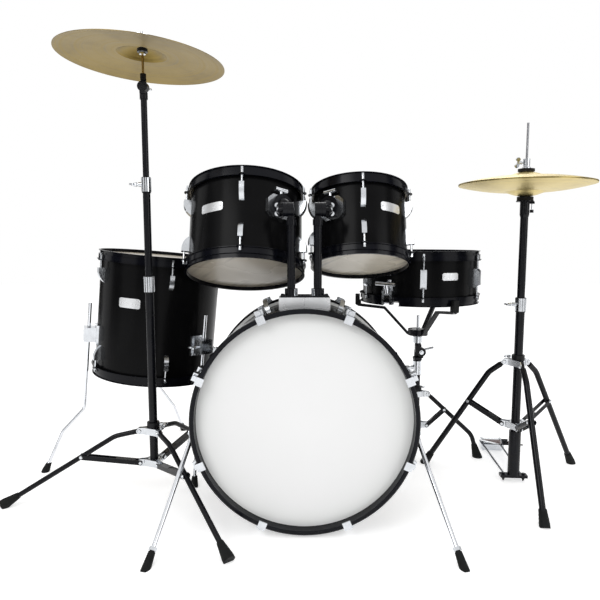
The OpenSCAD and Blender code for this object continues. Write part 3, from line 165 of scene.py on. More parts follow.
# turned bronze: fine rings round the cymbal's axis over soft hammer marks
def bronzeSurface(name, color, dark, centre, turn, rough=(0.34, 0.48)):
    sheet = NodeSheet(name)
    point = sheet.objectPoint(centre, turn)
    split = sheet.add("ShaderNodeSeparateXYZ")
    sheet.link(point, split.inputs["Vector"])
    square = [sheet.math("MULTIPLY", split.outputs[axis], split.outputs[axis]) for axis in "XY"]
    radius = sheet.math("SQRT", sheet.math("ADD", *square))
    ring = sheet.add("ShaderNodeCombineXYZ")
    sheet.link(radius, ring.inputs["X"])
    grooves = sheet.noise(ring.outputs["Vector"], bronze["groove"], 2.0)
    bands = sheet.noise(ring.outputs["Vector"], bronze["band"], 3.0)
    hammer = sheet.noise(point, bronze["hammer"], 1.0)
    cloud = sheet.noise(point, bronze["cloud"], 3.0)
    mixed = sheet.math("ADD", sheet.math("MULTIPLY", bands, bronze["bandShare"]),
                       sheet.math("MULTIPLY", cloud, 1 - bronze["bandShare"]))
    tone = sheet.ramp(mixed, [(0.36, tinted(dark, 1)), (0.5, tinted(color, 1)), (0.66, tinted(color, 1.14))])
    sheet.link(tone, sheet.shader.inputs["Base Color"])
    sheet.link(sheet.spread(bands, *rough), sheet.shader.inputs["Roughness"])
    dents = sheet.bump(hammer, 0.25, bronze["dentDepth"])
    sheet.link(sheet.bump(grooves, 0.5, bronze["grooveDepth"], dents), sheet.shader.inputs["Normal"])
    sheet.shader.inputs["Metallic"].default_value = 1.0
    return sheet.material


# a head's noise sizes, the slant of its streaks, how far clouds shift its tone, and how deep its grain is
headGrain = {"cloud": 7.0, "streak": 26.0, "spray": 900.0, "slant": 0.6, "cloudShift": 0.12, "depth": 0.0001}


# a drum head: sprayed grain, broad slanting streaks, and a soft change of tone towards the hoop, where shade is
# painted in as a darker tone at the edge
def headSurface(name, middle, hoopShadeTone, radius, centre, turn, rough=(0.38, 0.5), streak=0.0, bump=0.25):
    sheet = NodeSheet(name)
    point = sheet.objectPoint(centre, turn)
    split = sheet.add("ShaderNodeSeparateXYZ")
    sheet.link(point, split.inputs["Vector"])
    square = [sheet.math("MULTIPLY", split.outputs[axis], split.outputs[axis]) for axis in "XY"]
    distance = sheet.math("DIVIDE", sheet.math("SQRT", sheet.math("ADD", *square)), radius)
    cloud = sheet.noise(point, headGrain["cloud"], 2.0)
    slant = sheet.add("ShaderNodeCombineXYZ")
    across = sheet.math("MULTIPLY", split.outputs["Y"], headGrain["slant"])
    sheet.link(sheet.math("ADD", split.outputs["X"], across), slant.inputs["X"])
    streaks = sheet.noise(slant.outputs["Vector"], headGrain["streak"], 3.0, 0.6)
    clouded = sheet.math("MULTIPLY", sheet.math("SUBTRACT", cloud, 0.5), headGrain["cloudShift"])
    streaked = sheet.math("MULTIPLY", sheet.math("SUBTRACT", streaks, 0.5), streak)
    wander = sheet.math("ADD", clouded, streaked)
    # the tone runs from the head's middle colour out to the painted shade by the hoop, darkest at the very edge
    tone = sheet.ramp(sheet.math("ADD", distance, wander), [
        (0.0, tinted(middle, 1)), (0.72, tinted(middle, 0.97)),
        (0.93, tinted(hoopShadeTone, 1.04)), (1.0, tinted(hoopShadeTone, 0.94))])
    sheet.link(tone, sheet.shader.inputs["Base Color"])
    grain = sheet.noise(point, headGrain["spray"], 2.0)
    sheet.link(sheet.spread(cloud, *rough), sheet.shader.inputs["Roughness"])
    sheet.link(sheet.bump(grain, bump, headGrain["depth"]), sheet.shader.inputs["Normal"])
    sheet.shader.inputs["Specular IOR Level"].default_value = 0.3
    return sheet.material


# color and metal, then the spread of roughness, the tone's spread and noise size, the bump and its noise size
finishes = {
    "wrap": surface("glossBlackWrap", srgb(13, 13, 14), rough=(0.2, 0.27), tone=0.12, grain=14.0,
                    bump=(0.04, 0.0002), bumpScale=240.0, specular=0.06),
    "hoop": surface("glossBlackHoop", srgb(11, 12, 18), rough=(0.14, 0.22), tone=0.15, grain=20.0,
                    bump=(0.05, 0.0002), bumpScale=180.0, specular=0.14),
    "tube": surface("blackLacquer", srgb(11, 12, 17), rough=(0.22, 0.32), tone=0.2, grain=40.0,
                    bump=(0.08, 0.0001), bumpScale=700.0, specular=0.2),
    "chrome": surface("chrome", srgb(222, 224, 228), metal=1.0, rough=(0.06, 0.15), tone=0.04, grain=35.0,
                      bump=(0.03, 0.0001), bumpScale=300.0),
    "satin": surface("satinChrome", srgb(206, 209, 213), metal=1.0, rough=(0.14, 0.24), tone=0.06, grain=50.0,
                     bump=(0.06, 0.0001), bumpScale=900.0),
    "steel": surface("steelRod", srgb(148, 149, 152), metal=1.0, rough=(0.2, 0.32), tone=0.1, grain=60.0,
                     bump=(0.08, 0.0001), bumpScale=900.0),
    "brassRod": surface("agedBrassRod", srgb(160, 138, 96), metal=1.0, rough=(0.24, 0.34), tone=0.12,
                        grain=70.0, bump=(0.08, 0.0001), bumpScale=900.0),
    "rubber": surface("blackRubber", srgb(17, 18, 18), rough=(0.6, 0.75), tone=0.2, grain=90.0,
                      bump=(0.3, 0.0002), bumpScale=1200.0, specular=0.2),
    "nylon": surface("blackNylon", srgb(13, 14, 16), rough=(0.42, 0.52), tone=0.12, grain=80.0,
                     bump=(0.12, 0.0001), bumpScale=900.0, specular=0.25),
    "felt": surface("darkFelt", srgb(24, 23, 23), rough=(0.85, 0.95), tone=0.3, grain=160.0,
                    bump=(0.8, 0.0006), bumpScale=1500.0, specular=0.1, sheen=0.2),
    "paleFelt": surface("paleFelt", srgb(158, 152, 140), rough=(0.85, 0.95), tone=0.2, grain=160.0,
                        bump=(0.8, 0.0006), bumpScale=1500.0, specular=0.1, sheen=0.2),
    "tread": surface("pedalTread", srgb(92, 62, 60), metal=0.35, rough=(0.3, 0.45), tone=0.25, grain=120.0,
                     bump=(0.3, 0.0002), bumpScale=1000.0, specular=0.3),
    "plate": surface("barePlate", srgb(226, 227, 229), metal=0.6, rough=(0.22, 0.3), tone=0.03, grain=40.0,
                     bump=(0.05, 0.0001), bumpScale=800.0),
    "wire": surface("snareWire", srgb(190, 193, 197), metal=1.0, rough=(0.2, 0.3), tone=0.08, grain=300.0,
                    bump=(0.05, 0.0001), bumpScale=900.0),
}
print("shared finishes made:", len(finishes))


def faceCentres(obj):
    centres = np.zeros(len(obj.data.polygons) * 3)
    obj.data.polygons.foreach_get("center", centres)
    return centres.reshape(-1, 3)


# gives a part its main finish, then the faces that each rule picks another one
def dress(node, base, *rules):
    obj = nodes[node]
    obj.data.materials.clear()
    obj.data.materials.append(finishes[base])
    if rules:
        index = np.zeros(len(obj.data.polygons), np.int32)
        centres = faceCentres(obj)
        for finish, picks in rules:
            obj.data.materials.append(finishes[finish])
            index[picks(centres)] = len(obj.data.materials) - 1
        obj.data.polygons.foreach_set("material_index", index)


def fromColumn(centres, name):
    place = columns[name]
    return np.hypot(centres[:, 0] - place.x, centres[:, 1] - place.y)


# picks faces between two heights and two distances from a stand's column
def inColumn(name, low, high, outside=0.0, inside=9.0):
    def picks(c):
        reach = fromColumn(c, name)
        return (c[:, 2] > low) & (c[:, 2] < high) & (reach > outside) & (reach < inside)
    return picks


# picks faces further than a distance from the plane in which a leg or brace swings
def offPlane(joint, distance, reach=9.0):
    place, axis = np.array(jointPlace(joint)), np.array(joints[joint]["axis"])
    def picks(c):
        along = (c - place) @ axis
        return (np.abs(along) > distance) & (np.linalg.norm(c - place, axis=1) < reach)
    return picks


# a drum's own space: Z along its axis from the lower rim's edge
def drumSpace(place, lean):
    return Matrix.Translation(place) @ Matrix.Rotation(lean[1], 4, lean[0])


def localCentres(c, matrix):
    inverse = np.array(matrix.inverted())
    return c @ inverse[:3, :3].T + inverse[:3, 3]


kitMid = Vector((0.026918, 0.307294, 0.0))
drums = {
    "leftTom": {"place": Vector((-0.159, 0.257, 0.601)) - kitMid, "lean": ("X", math.radians(-20)),
                "radius": 0.1525, "depth": 0.222, "bracket": math.radians(-53)},
    "rightTom": {"place": Vector((0.153, 0.272, 0.623)) - kitMid, "lean": ("X", math.radians(-17.5)),
                 "radius": 0.127, "depth": 0.196, "bracket": math.radians(-127.6)},
    "floorTom": {"place": Vector((-0.472, 0.487, 0.2835)) - kitMid, "lean": ("Y", math.radians(5.4)),
                 "radius": 0.178, "depth": 0.350},
    "snare": {"place": Vector((0.372, 0.545, 0.502)) - kitMid, "lean": ("X", 0.0),
              "radius": 0.178, "depth": 0.140},
}
rimProud = 0.011
for drum in drums.values():
    drum["space"] = drumSpace(drum["place"], drum["lean"]) @ Matrix.Translation((0, 0, rimProud))
    drum["turn"] = tuple(drum["space"].to_euler())
    drum["middle"] = drum["space"] @ Vector((0, 0, drum["depth"] / 2))

bassLow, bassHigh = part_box("bass_hoops")
bass = {"centre": Vector(((bassLow.x + bassHigh.x) / 2, bassLow.y, (bassLow.z + bassHigh.z) / 2)),
        "headRadius": 0.254}
# the coated head's own white, then a greyer tone that paints the hoop's shade at its edge
finishes["bassHead"] = headSurface("coatedWhiteHead", srgb(246, 246, 246), srgb(236, 237, 236),
                                   bass["headRadius"], bass["centre"], (math.radians(-91), 0, 0))
headTones = {"leftTom": (200, 190, 172), "rightTom": (250, 240, 220), "floorTom": (200, 190, 172)}
# the share of each tom head's tone kept at the hoop, where shade is painted in
hoopShadeShare = 0.82
for key, headTone in headTones.items():
    drum = drums[key]
    finishes[key + "Head"] = headSurface(
        key + "ClearHead", srgb(*headTone), srgb(*(hoopShadeShare * part for part in headTone)), drum["radius"],
        drum["middle"], drum["turn"], rough=(0.2, 0.34), streak=1.1, bump=0.05)
# the snare head's own tone, then a darker tone that paints the hoop's shade at its edge
finishes["snareHead"] = headSurface("snareHead", srgb(232, 232, 230), srgb(206, 206, 204),
                                    drums["snare"]["radius"], drums["snare"]["middle"], None)


# what parts one finish from the next on the toms' brackets, the spurs and the tom mount, in metres
tomHousing = {"height": 0.6, "proud": 0.0082, "boltAbove": 0.0272, "boltReach": 0.0195}
spurs = {"tip": 0.2815, "nut": 0.2775, "nutHalf": 0.0055}
mount = {"plateLow": 0.0475, "plateHigh": 0.0195, "lid": 0.0165, "collarReach": 0.0215, "postHead": 0.0198}
floorTomTip = 0.0285


def housing(key):
    drum = drums[key]
    space = drum["space"] @ Matrix.Rotation(drum["bracket"], 4, "Z")
    def picks(c):
        p = localCentres(c, space)
        up = p[:, 2] - tomHousing["height"] * drum["depth"]
        bolt = (up > tomHousing["boltAbove"]) & (p[:, 0] < drum["radius"] + tomHousing["boltReach"])
        return (p[:, 0] > drum["radius"] + tomHousing["proud"]) & ~bolt
    return picks


def fromSpurPin(c, side):
    return np.linalg.norm(c - np.array(jointPlace(side + "_spur_fold")), axis=1)


def fromPosts(c):
    return np.minimum(np.abs(c[:, 0] - postX["left"]), np.abs(c[:, 0] - postX["right"]))


dress("bass_shell", "wrap")
dress("bass_heads", "bassHead")
dress("bass_hoops", "hoop")
dress("bass_fittings", "satin")

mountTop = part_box("tom_mount_base")[1].z
postX = {side: jointPlace(side + "_tom_height").x for side in ("left", "right")}
dress("tom_mount_base", "tube",
      ("plate", lambda c: (c[:, 2] > mountTop - mount["plateLow"]) & (c[:, 2] < mountTop - mount["plateHigh"])),
      ("satin", lambda c: (c[:, 2] > mountTop - mount["lid"]) & (fromPosts(c) > mount["collarReach"])))
for side, sign in (("left", -1), ("right", 1)):
    key = side + "Tom"
    dress(side + "_tom_shell", "wrap")
    dress(side + "_tom_heads", key + "Head")
    dress(side + "_tom_rims", "hoop")
    dress(side + "_tom_fittings", "satin", ("tube", housing(key)))
    dress(side + "_tom_post", "tube",
          ("satin", lambda c, s=sign, x=postX[side]: s * (c[:, 0] - x) > mount["postHead"]))
    dress(side + "_spur", "chrome",
          ("satin", lambda c, s=side: np.abs(fromSpurPin(c, s) - spurs["nut"]) < spurs["nutHalf"]),
          ("rubber", lambda c, s=side: fromSpurPin(c, s) > spurs["tip"]))
dress("floor_tom_shell", "wrap")
dress("floor_tom_heads", "floorTomHead")
dress("floor_tom_rims", "hoop")
dress("floor_tom_fittings", "satin")
dress("floor_tom_legs", "chrome", ("rubber", lambda c: c[:, 2] < floorTomTip))

dress("snare_shell", "wrap")
dress("snare_heads", "snareHead")
dress("snare_rims", "hoop")
dress("snare_fittings", "satin")
dress("snare_lever", "chrome")

# the snare stand's upper parts; each span is lowest and highest, then nearest to and furthest from the column
snareParts = {"handleOut": 0.0155, "screwOut": 0.0112, "screwLow": 0.322, "rod": (0.3635, 0.452, 0.0, 0.0055),
              "nut": (0.3635, 0.3865, 0.0, 0.0155), "jawScrew": (0.484, 0.493, 0.1935, 0.2),
              "jaw": (0.4868, 0.53, 0.18)}
tilterX = jointPlace("snare_tilt").x
dress("snare_post", "tube",
      ("satin", lambda c: c[:, 0] > tilterX + snareParts["handleOut"]),
      ("satin", lambda c: (c[:, 1] < columns["snare"].y - snareParts["screwOut"])
                          & (c[:, 2] > snareParts["screwLow"])))
dress("snare_basket", "tube",
      ("chrome", inColumn("snare", *snareParts["rod"])),
      ("satin", inColumn("snare", *snareParts["nut"])),
      ("satin", inColumn("snare", *snareParts["jawScrew"])),
      ("rubber", inColumn("snare", *snareParts["jaw"])))

# each stand: its base tube's radius and height, the clamp sleeve's length, the heights of lower hub and collar,
# how far the side plates of legs and braces stand off their middle planes, and the span of the rubber feet
stands = {
    "crash": {"tube": 0.011, "top": 0.603, "sleeve": 0.041, "hub": 0.103, "collar": 0.190, "legPlane": 0.0068,
              "bracePlane": 0.0093, "foot": (-1, 0.06, 0.3491)},
    "snare": {"tube": 0.011, "top": 0.306, "sleeve": 0.046, "hub": 0.092, "collar": 0.196, "legPlane": 0.0068,
              "bracePlane": 0.0098, "foot": (-1, 0.0418)},
    "hat": {"tube": 0.012, "top": 0.536, "sleeve": 0.038, "hub": 0.168, "collar": 0.350, "legPlane": 0.0068,
            "bracePlane": 0.0108, "foot": (-1, 0.0369)},
}
# what all three share: the clamp sleeve's lip, bushes and screw, the hub's half height, the collar's bush
clamp = {"lip": 0.0016, "off": 0.0004, "screw": 0.08, "bush": 0.02, "bushTop": 0.001, "bushLow": 0.004,
         "hubHalf": 0.0095, "hubReach": 0.06, "collarBush": 0.0092, "collarReach": 0.0182, "legPin": 0.013}
pedal = {"frame": (0.0135, 0.0205, 0.040, 0.232), "heelPlate": (0.0, 0.04, 0.2295, 0.4)}

baseRules = []
for name, stand in stands.items():
    top, low, out = stand["top"], stand["top"] - stand["sleeve"], stand["tube"] + clamp["off"]
    hub = (stand["hub"] - clamp["hubHalf"], stand["hub"] + clamp["hubHalf"])
    baseRules += [("satin", inColumn(name, low, top - clamp["lip"], out, clamp["screw"])),
                  ("nylon", inColumn(name, top - clamp["lip"], top + clamp["bushTop"], 0.0, clamp["bush"])),
                  ("nylon", inColumn(name, low - clamp["bushLow"], low, out, clamp["bush"])),
                  ("satin", inColumn(name, *hub, out, clamp["hubReach"]))]
    collarBush = inColumn(name, stand["collar"] + clamp["collarBush"], 1, 0.0, clamp["collarReach"])
    dress(name + "_collar", "satin", ("nylon", collarBush))
    for i in (1, 2, 3):
        leg, brace = f"{name}_leg_{i}", f"{name}_brace_{i}"
        dress(leg, "tube", ("satin", offPlane(leg + "_swing", stand["legPlane"], clamp["legPin"])),
              ("rubber", inColumn(name, *stand["foot"])))
        dress(brace, "tube", ("satin", offPlane(brace + "_swing", stand["bracePlane"])))
baseRules += [("steel", inColumn("hat", *pedal["frame"])), ("satin", inColumn("hat", *pedal["heelPlate"]))]
dress("stand_base_tubes", "tube", *baseRules)

# the crash stand's upper parts, as spans
crashParts = {"sleeve": (0.819, 0.8544, 0.0106, 0.08), "bush": (0.8544, 0.857, 0.0, 0.02), "handleOut": 0.0083,
              "rod": (1.1105, 1.2, 0.0, 0.0042), "seat": (1.156, 1.1622, 0.0, 0.009),
              "lowFelt": (1.1622, 1.1835, 0.0042, 0.014), "highFelt": (1.1835, 1.1926, 0.0042, 0.014),
              "wingNut": (1.1916, 1.25)}
dress("crash_middle_tube", "tube",
      ("satin", inColumn("crash", *crashParts["sleeve"])),
      ("nylon", inColumn("crash", *crashParts["bush"])))
dress("crash_top_tube", "tube", ("satin", lambda c: c[:, 1] > columns["crash"].y + crashParts["handleOut"]))
dress("crash_tilter", "tube",
      ("brassRod", inColumn("crash", *crashParts["rod"])),
      ("satin", inColumn("crash", *crashParts["seat"])),
      ("felt", inColumn("crash", *crashParts["lowFelt"])),
      ("paleFelt", inColumn("crash", *crashParts["highFelt"])),
      ("satin", inColumn("crash", *crashParts["wingNut"])))

# the hi-hat's cup, pull strap and clutch; the clutch's heights are measured from the top cymbal's hole
hatParts = {"cupFelt": (0.8034, 0.8142, 0.0057), "tiltScrew": (0.7795, 0.7962, 0.0126), "strapLow": 0.1035,
            "strapHigh": 0.116, "strapOut": 0.0062}
clutch = {"hole": 0.8829, "nutLow": 0.0125, "feltLow": 0.0001, "feltHigh": 0.0071, "nutReach": 0.0102,
          "feltReach": 0.024, "reach": 0.06}
dress("hat_upper_tube", "tube",
      ("felt", inColumn("hat", *hatParts["cupFelt"])),
      ("chrome", inColumn("hat", *hatParts["tiltScrew"])))
dress("hat_pull_rod", "steel", ("nylon", lambda c: (c[:, 2] < hatParts["strapLow"]) | (
    (c[:, 2] < hatParts["strapHigh"]) & (c[:, 1] > columns["hat"].y + hatParts["strapOut"]))))

# the footboard's own space: the heel's pin on X, the board running along -Y
board = {"turn": -5, "slope": -17, "treadTop": 0.0019, "tread": (0.014, 0.2265)}
boardSpace = (Matrix.Translation(jointPlace("hat_pedal")) @ Matrix.Rotation(math.radians(board["turn"]), 4, "Z")
              @ Matrix.Rotation(math.radians(board["slope"]), 4, "X"))


def treadFaces(c):
    p = localCentres(c, boardSpace)
    return (p[:, 2] > board["treadTop"]) & (-p[:, 1] > board["tread"][0]) & (-p[:, 1] < board["tread"][1])


dress("hat_footboard", "satin", ("tread", treadFaces))

crashRoll = 4.5
finishes["crashBronze"] = bronzeSurface("crashBronze", srgb(139, 119, 62), srgb(115, 97, 48),
                                        jointPlace("crash_swing"), (0, math.radians(crashRoll), 0))
finishes["hatBronze"] = bronzeSurface("hatBronze", srgb(206, 188, 128), srgb(182, 162, 102),
                                      jointPlace("hat_clutch_height"), None)
dress("crash_cymbal", "crashBronze")
dress("hat_bottom_cymbal", "hatBronze")
nutLow, feltLow = clutch["hole"] - clutch["nutLow"], clutch["hole"] + clutch["feltLow"]
feltHigh = clutch["hole"] + clutch["feltHigh"]
dress("hat_top_cymbal", "hatBronze",
      ("satin", inColumn("hat", nutLow, feltLow, 0.0, clutch["nutReach"])),
      ("felt", inColumn("hat", feltLow, feltHigh, 0.0, clutch["feltReach"])),
      ("satin", inColumn("hat", feltHigh, 1.0, 0.0, clutch["reach"])))
print("frame parts dressed")


def linked(name, mesh):
    obj = bpy.data.objects.new(name, mesh)
    bpy.context.scene.collection.objects.link(obj)
    return obj


def treeOf(name, sizes):
    tree = bpy.data.node_groups.new(name, "GeometryNodeTree")
    tree.interface.new_socket("Path", in_out="INPUT", socket_type="NodeSocketGeometry")
    for label, kind in sizes:
        tree.interface.new_socket(label, in_out="INPUT", socket_type="NodeSocket" + kind)
    tree.interface.new_socket("Geometry", in_out="OUTPUT", socket_type="NodeSocketGeometry")
    return tree, tree.nodes.new("NodeGroupInput"), tree.nodes.new("NodeGroupOutput")


def joined(tree, *pairs):
    for source, target in pairs:
        tree.links.new(source, target)


# runs a Geometry Nodes tree on an object and keeps the result as one plain mesh
def grown(obj, tree, values):
    grow = obj.modifiers.new("grow", "NODES")
    grow.node_group = tree
    keys = {item.name: item.identifier for item in tree.interface.items_tree if item.in_out == "INPUT"}
    for label, value in values.items():
        grow[keys[label]] = value
    evaluated = obj.evaluated_get(bpy.context.evaluated_depsgraph_get())
    mesh = bpy.data.meshes.new_from_object(evaluated)
    mesh.name = obj.name
    obj.modifiers.remove(grow)
    obj.data = mesh
    return obj


def smooth(obj):
    obj.data.polygons.foreach_set("use_smooth", np.ones(len(obj.data.polygons), bool))
    return obj


# the bare plates: each lies on its shell at a height and an angle round the drum
plates = {
    "leftTomPlate": {"drum": "leftTom", "body": "left_tom", "angle": -119.5, "height": 0.129,
                     "size": (0.066, 0.024)},
    "rightTomPlate": {"drum": "rightTom", "body": "right_tom", "angle": -56.0, "height": 0.120,
                      "size": (0.064, 0.024)},
    "floorTomPlate": {"drum": "floorTom", "body": "kit", "angle": -103.5, "height": 0.222,
                      "size": (0.066, 0.028)},
    "snarePlate": {"drum": "snare", "body": "snare_drum", "angle": -72.0, "height": 0.077,
                   "size": (0.052, 0.022)},
}
plateMake = {"proud": 0.0012, "gap": 0.0002, "corner": 0.0035, "columns": 14, "edge": 0.0004,
             "rivet": 0.0018, "rivetInset": 0.005}


def plateMesh(name, drum, angle, height, size):
    wide, tall = size
    radius, corner = drum["radius"] + plateMake["gap"], plateMake["corner"]
    rows, rings = [], []
    for i in range(plateMake["columns"] + 1):
        x = -wide / 2 + wide * i / plateMake["columns"]
        inset = max(0.0, corner - (wide / 2 - abs(x)))
        half = tall / 2 - corner + math.sqrt(max(0.0, corner ** 2 - inset ** 2))
        rows.append((x, half))
    verts, faces = [], []
    for proud in (0.0, plateMake["proud"]):
        ring = []
        for x, half in rows:
            turn = math.radians(angle) + x / radius
            for z in (-half, half):
                ring.append(len(verts))
                out = radius + proud
                point = Vector((out * math.cos(turn), out * math.sin(turn), height + z))
                verts.append(drum["space"] @ point)
        rings.append(ring)
    low, top = rings
    last = len(rows) - 1
    for i in range(last):
        a, b, c, d = 2 * i, 2 * i + 2, 2 * i + 3, 2 * i + 1
        faces.append((top[a], top[b], top[c], top[d]))
        faces.append((low[d], low[c], low[b], low[a]))
        faces.append((low[a], low[b], top[b], top[a]))
        faces.append((top[d], top[c], low[c], low[d]))
    faces.append((low[0], top[0], top[1], low[1]))
    faces.append((low[2 * last + 1], top[2 * last + 1], top[2 * last], low[2 * last]))
    mesh = bpy.data.meshes.new(name)
    mesh.from_pydata(verts, [], faces)
    return mesh


# a round rivet on each point of a path
def rivetTree():
    tree, start, end = treeOf("rivets", [("Rivet radius", "Float"), ("Finish", "Material")])
    dome = tree.nodes.new("GeometryNodeMeshUVSphere")
    dome.inputs["Segments"].default_value = 12
    dome.inputs["Rings"].default_value = 8
    place = tree.nodes.new("GeometryNodeInstanceOnPoints")
    real = tree.nodes.new("GeometryNodeRealizeInstances")
    finish = tree.nodes.new("GeometryNodeSetMaterial")
    joined(tree,
           (start.outputs["Rivet radius"], dome.inputs["Radius"]),
           (start.outputs["Path"], place.inputs["Points"]),
           (dome.outputs["Mesh"], place.inputs["Instance"]),
           (place.outputs["Instances"], real.inputs["Geometry"]),
           (real.outputs["Geometry"], finish.inputs["Geometry"]),
           (start.outputs["Finish"], finish.inputs["Material"]),
           (finish.outputs["Geometry"], end.inputs["Geometry"]))
    return tree


rivets = rivetTree()
for name, plate in plates.items():
    drum = drums[plate["drum"]]
    piece = linked(name, plateMesh(name, drum, plate["angle"], plate["height"], plate["size"]))
    piece.data.materials.append(finishes["plate"])
    bevel = piece.modifiers.new("softEdge", "BEVEL")
    bevel.width, bevel.segments, bevel.limit_method = plateMake["edge"], 2, "ANGLE"
    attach(piece, plate["body"])
    radius = drum["radius"] + plateMake["proud"]
    places = []
    for side in (-1, 1):
        inset = plate["size"][0] / 2 - plateMake["rivetInset"]
        turn = math.radians(plate["angle"]) + side * inset / radius
        spot = Vector((radius * math.cos(turn), radius * math.sin(turn), plate["height"]))
        places.append(drum["space"] @ spot)
    dots = bpy.data.meshes.new(name + "Rivets")
    dots.from_pydata(places, [], [])
    pins = grown(linked(name + "Rivets", dots), rivets,
                 {"Rivet radius": plateMake["rivet"], "Finish": finishes["chrome"]})
    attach(smooth(pins), plate["body"])
print("bare plates made:", len(plates))

# the snare wires: a close coil round each of the twelve wires under the lower head
wires = {"count": 12, "pitch": 0.0038, "reach": 0.135, "drop": 0.0028, "coil": 0.00125, "wire": 0.00028,
         "turns": 110, "angle": -128.4}


def coilTree():
    tree, start, end = treeOf("wireCoils", [
        ("Turns", "Float"), ("Coil radius", "Float"), ("Length", "Float"),
        ("Wire radius", "Float"), ("Angle", "Float"), ("Finish", "Material")])
    spiral = tree.nodes.new("GeometryNodeCurveSpiral")
    spiral.inputs["Resolution"].default_value = 7
    profile = tree.nodes.new("GeometryNodeCurvePrimitiveCircle")
    profile.inputs["Resolution"].default_value = 4
    sweep = tree.nodes.new("GeometryNodeCurveToMesh")
    place = tree.nodes.new("GeometryNodeInstanceOnPoints")
    turn = tree.nodes.new("ShaderNodeCombineXYZ")
    turn.inputs["Y"].default_value = math.pi / 2
    real = tree.nodes.new("GeometryNodeRealizeInstances")
    finish = tree.nodes.new("GeometryNodeSetMaterial")
    joined(tree,
           (start.outputs["Turns"], spiral.inputs["Rotations"]),
           (start.outputs["Coil radius"], spiral.inputs["Start Radius"]),
           (start.outputs["Coil radius"], spiral.inputs["End Radius"]),
           (start.outputs["Length"], spiral.inputs["Height"]),
           (start.outputs["Wire radius"], profile.inputs["Radius"]),
           (spiral.outputs["Curve"], sweep.inputs["Curve"]),
           (profile.outputs["Curve"], sweep.inputs["Profile Curve"]),
           (start.outputs["Path"], place.inputs["Points"]),
           (sweep.outputs["Mesh"], place.inputs["Instance"]),
           (start.outputs["Angle"], turn.inputs["Z"]),
           (turn.outputs["Vector"], place.inputs["Rotation"]),
           (place.outputs["Instances"], real.inputs["Geometry"]),
           (real.outputs["Geometry"], finish.inputs["Geometry"]),
           (start.outputs["Finish"], finish.inputs["Material"]),
           (finish.outputs["Geometry"], end.inputs["Geometry"]))
    return tree


def makeWires():
    snare = drums["snare"]
    across = Matrix.Rotation(math.radians(wires["angle"]), 4, "Z")
    middle = (wires["count"] - 1) / 2
    starts = [snare["space"] @ across @ Vector((-wires["reach"], (i - middle) * wires["pitch"], -wires["drop"]))
              for i in range(wires["count"])]
    mesh = bpy.data.meshes.new("snareWireCoils")
    mesh.from_pydata(starts, [], [])
    coils = grown(linked("snareWireCoils", mesh), coilTree(), {
        "Turns": float(wires["turns"]), "Coil radius": wires["coil"], "Length": 2 * wires["reach"],
        "Wire radius": wires["wire"], "Angle": math.radians(wires["angle"]), "Finish": finishes["wire"]})
    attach(smooth(coils), "snare_drum")
    print("snare wires coiled:", len(coils.data.polygons), "faces")


makeWires()

studio = {"floorSize": 14.0, "floorTone": 0.9, "floorGlow": 0.5, "worldLevel": 0.72,
          "cards": 7, "cardRing": 4.6, "cardHeight": (-0.02, 3.4), "cardShare": 0.45, "cardTone": 0.02}
# each lamp's place, the point it faces, its size and its power
lamps = {
    "keyLight": {"place": (-1.6, -2.4, 2.4), "target": (0, 0, 0.5), "size": (1.8, 1.2), "power": 30.0},
    "fillLight": {"place": (2.2, -1.6, 1.4), "target": (0, 0, 0.5), "size": (1.4, 1.4), "power": 12.0},
    "rimLight": {"place": (0.6, 2.2, 2.4), "target": (0, 0, 0.6), "size": (2.0, 0.8), "power": 16.0},
}
camera = {"place": (-0.0379, -1.5421, 0.6962), "down": 6.17, "lens": 33.234, "sensor": 36.0, "farthest": 50.0}


# one value that is 1 for camera, glossy and transmission rays, so that all three see the white background
def seenRays(tree):
    rays = tree.nodes.new("ShaderNodeLightPath")
    seen = rays.outputs["Is Camera Ray"]
    for kind in ("Is Glossy Ray", "Is Transmission Ray"):
        either = tree.nodes.new("ShaderNodeMath")
        either.operation = "MAXIMUM"
        tree.links.new(seen, either.inputs[0])
        tree.links.new(rays.outputs[kind], either.inputs[1])
        seen = either.outputs[0]
    return seen


def makeFloor():
    mesh = bpy.data.meshes.new("floor")
    half = studio["floorSize"] / 2
    corners = [(-half, -half, 0), (half, -half, 0), (half, half, 0), (-half, half, 0)]
    mesh.from_pydata(corners, [], [(0, 1, 2, 3)])
    floor = linked("floor", mesh)
    material = bpy.data.materials.new("paleFloor")
    material.use_nodes = True
    tree = material.node_tree
    shader = tree.nodes["Principled BSDF"]
    shader.inputs["Base Color"].default_value = (*[studio["floorTone"]] * 3, 1)
    shader.inputs["Roughness"].default_value = 0.9
    shader.inputs["Specular IOR Level"].default_value = 0.0
    glow = tree.nodes.new("ShaderNodeMath")
    glow.operation = "MULTIPLY"
    glow.inputs[1].default_value = studio["floorGlow"]
    tree.links.new(seenRays(tree), glow.inputs[0])
    shader.inputs["Emission Color"].default_value = (1, 1, 1, 1)
    tree.links.new(glow.outputs[0], shader.inputs["Emission Strength"])
    mesh.materials.append(material)


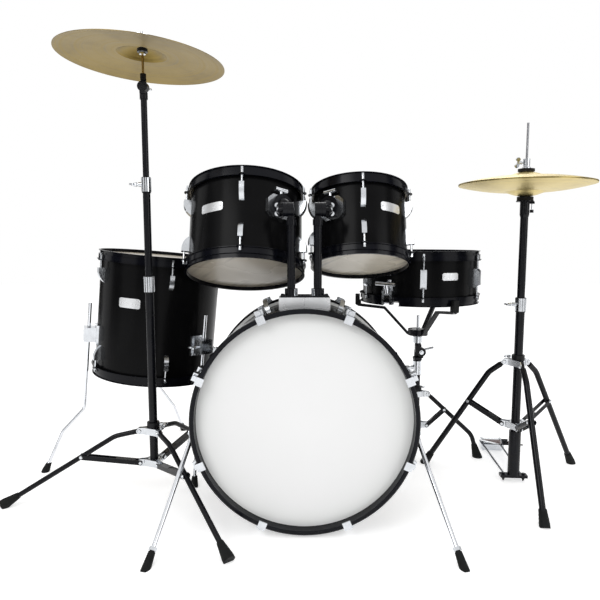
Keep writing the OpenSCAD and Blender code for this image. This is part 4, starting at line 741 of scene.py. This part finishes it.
# dark cards round the set that only gloss and metal see, as a studio's flags give them their dark bands
def makeCards():
    count, ring = studio["cards"], studio["cardRing"]
    low, high = studio["cardHeight"]
    verts, faces = [], []
    for i in range(count):
        middle = math.radians(-90 + 360 * (i + 0.5) / count)
        half = math.pi / count * studio["cardShare"]
        corner = [(middle - half, low), (middle + half, low), (middle + half, high), (middle - half, high)]
        faces.append(tuple(range(len(verts), len(verts) + 4)))
        verts += [(ring * math.cos(turn), ring * math.sin(turn), z) for turn, z in corner]
    mesh = bpy.data.meshes.new("darkCards")
    mesh.from_pydata(verts, [], faces)
    cards = linked("darkCards", mesh)
    material = bpy.data.materials.new("darkCard")
    material.use_nodes = True
    shader = material.node_tree.nodes["Principled BSDF"]
    shader.inputs["Base Color"].default_value = (*[studio["cardTone"]] * 3, 1)
    shader.inputs["Roughness"].default_value = 1.0
    shader.inputs["Specular IOR Level"].default_value = 0.0
    mesh.materials.append(material)
    for kind in ("camera", "diffuse", "transmission", "volume_scatter", "shadow"):
        setattr(cards, "visible_" + kind, False)


def makeWorld():
    world = bpy.data.worlds.new("studio")
    bpy.context.scene.world = world
    world.use_nodes = True
    tree = world.node_tree
    level = tree.nodes.new("ShaderNodeMapRange")
    level.inputs["To Min"].default_value = studio["worldLevel"]
    level.inputs["To Max"].default_value = 1.0
    tree.links.new(seenRays(tree), level.inputs["Value"])
    background = tree.nodes["Background"]
    tree.links.new(level.outputs["Result"], background.inputs["Strength"])
    background.inputs["Color"].default_value = (1, 1, 1, 1)


def makeLamp(name, lamp):
    data = bpy.data.lights.new(name, "AREA")
    data.shape = "RECTANGLE"
    data.size, data.size_y = lamp["size"]
    data.energy = lamp["power"]
    light = linked(name, data)
    light.location = lamp["place"]
    facing = Vector(lamp["target"]) - Vector(lamp["place"])
    light.rotation_euler = facing.to_track_quat("-Z", "Y").to_euler()


def makeCamera():
    data = bpy.data.cameras.new("camera")
    data.sensor_width, data.lens, data.clip_end = camera["sensor"], camera["lens"], camera["farthest"]
    viewer = linked("camera", data)
    viewer.location = camera["place"]
    viewer.rotation_euler = (math.radians(90 - camera["down"]), 0, 0)
    bpy.context.scene.camera = viewer


makeFloor()
makeCards()
makeWorld()
for name, lamp in lamps.items():
    makeLamp(name, lamp)
makeCamera()
bpy.context.scene.view_settings.view_transform = "Standard"
print("studio ready")
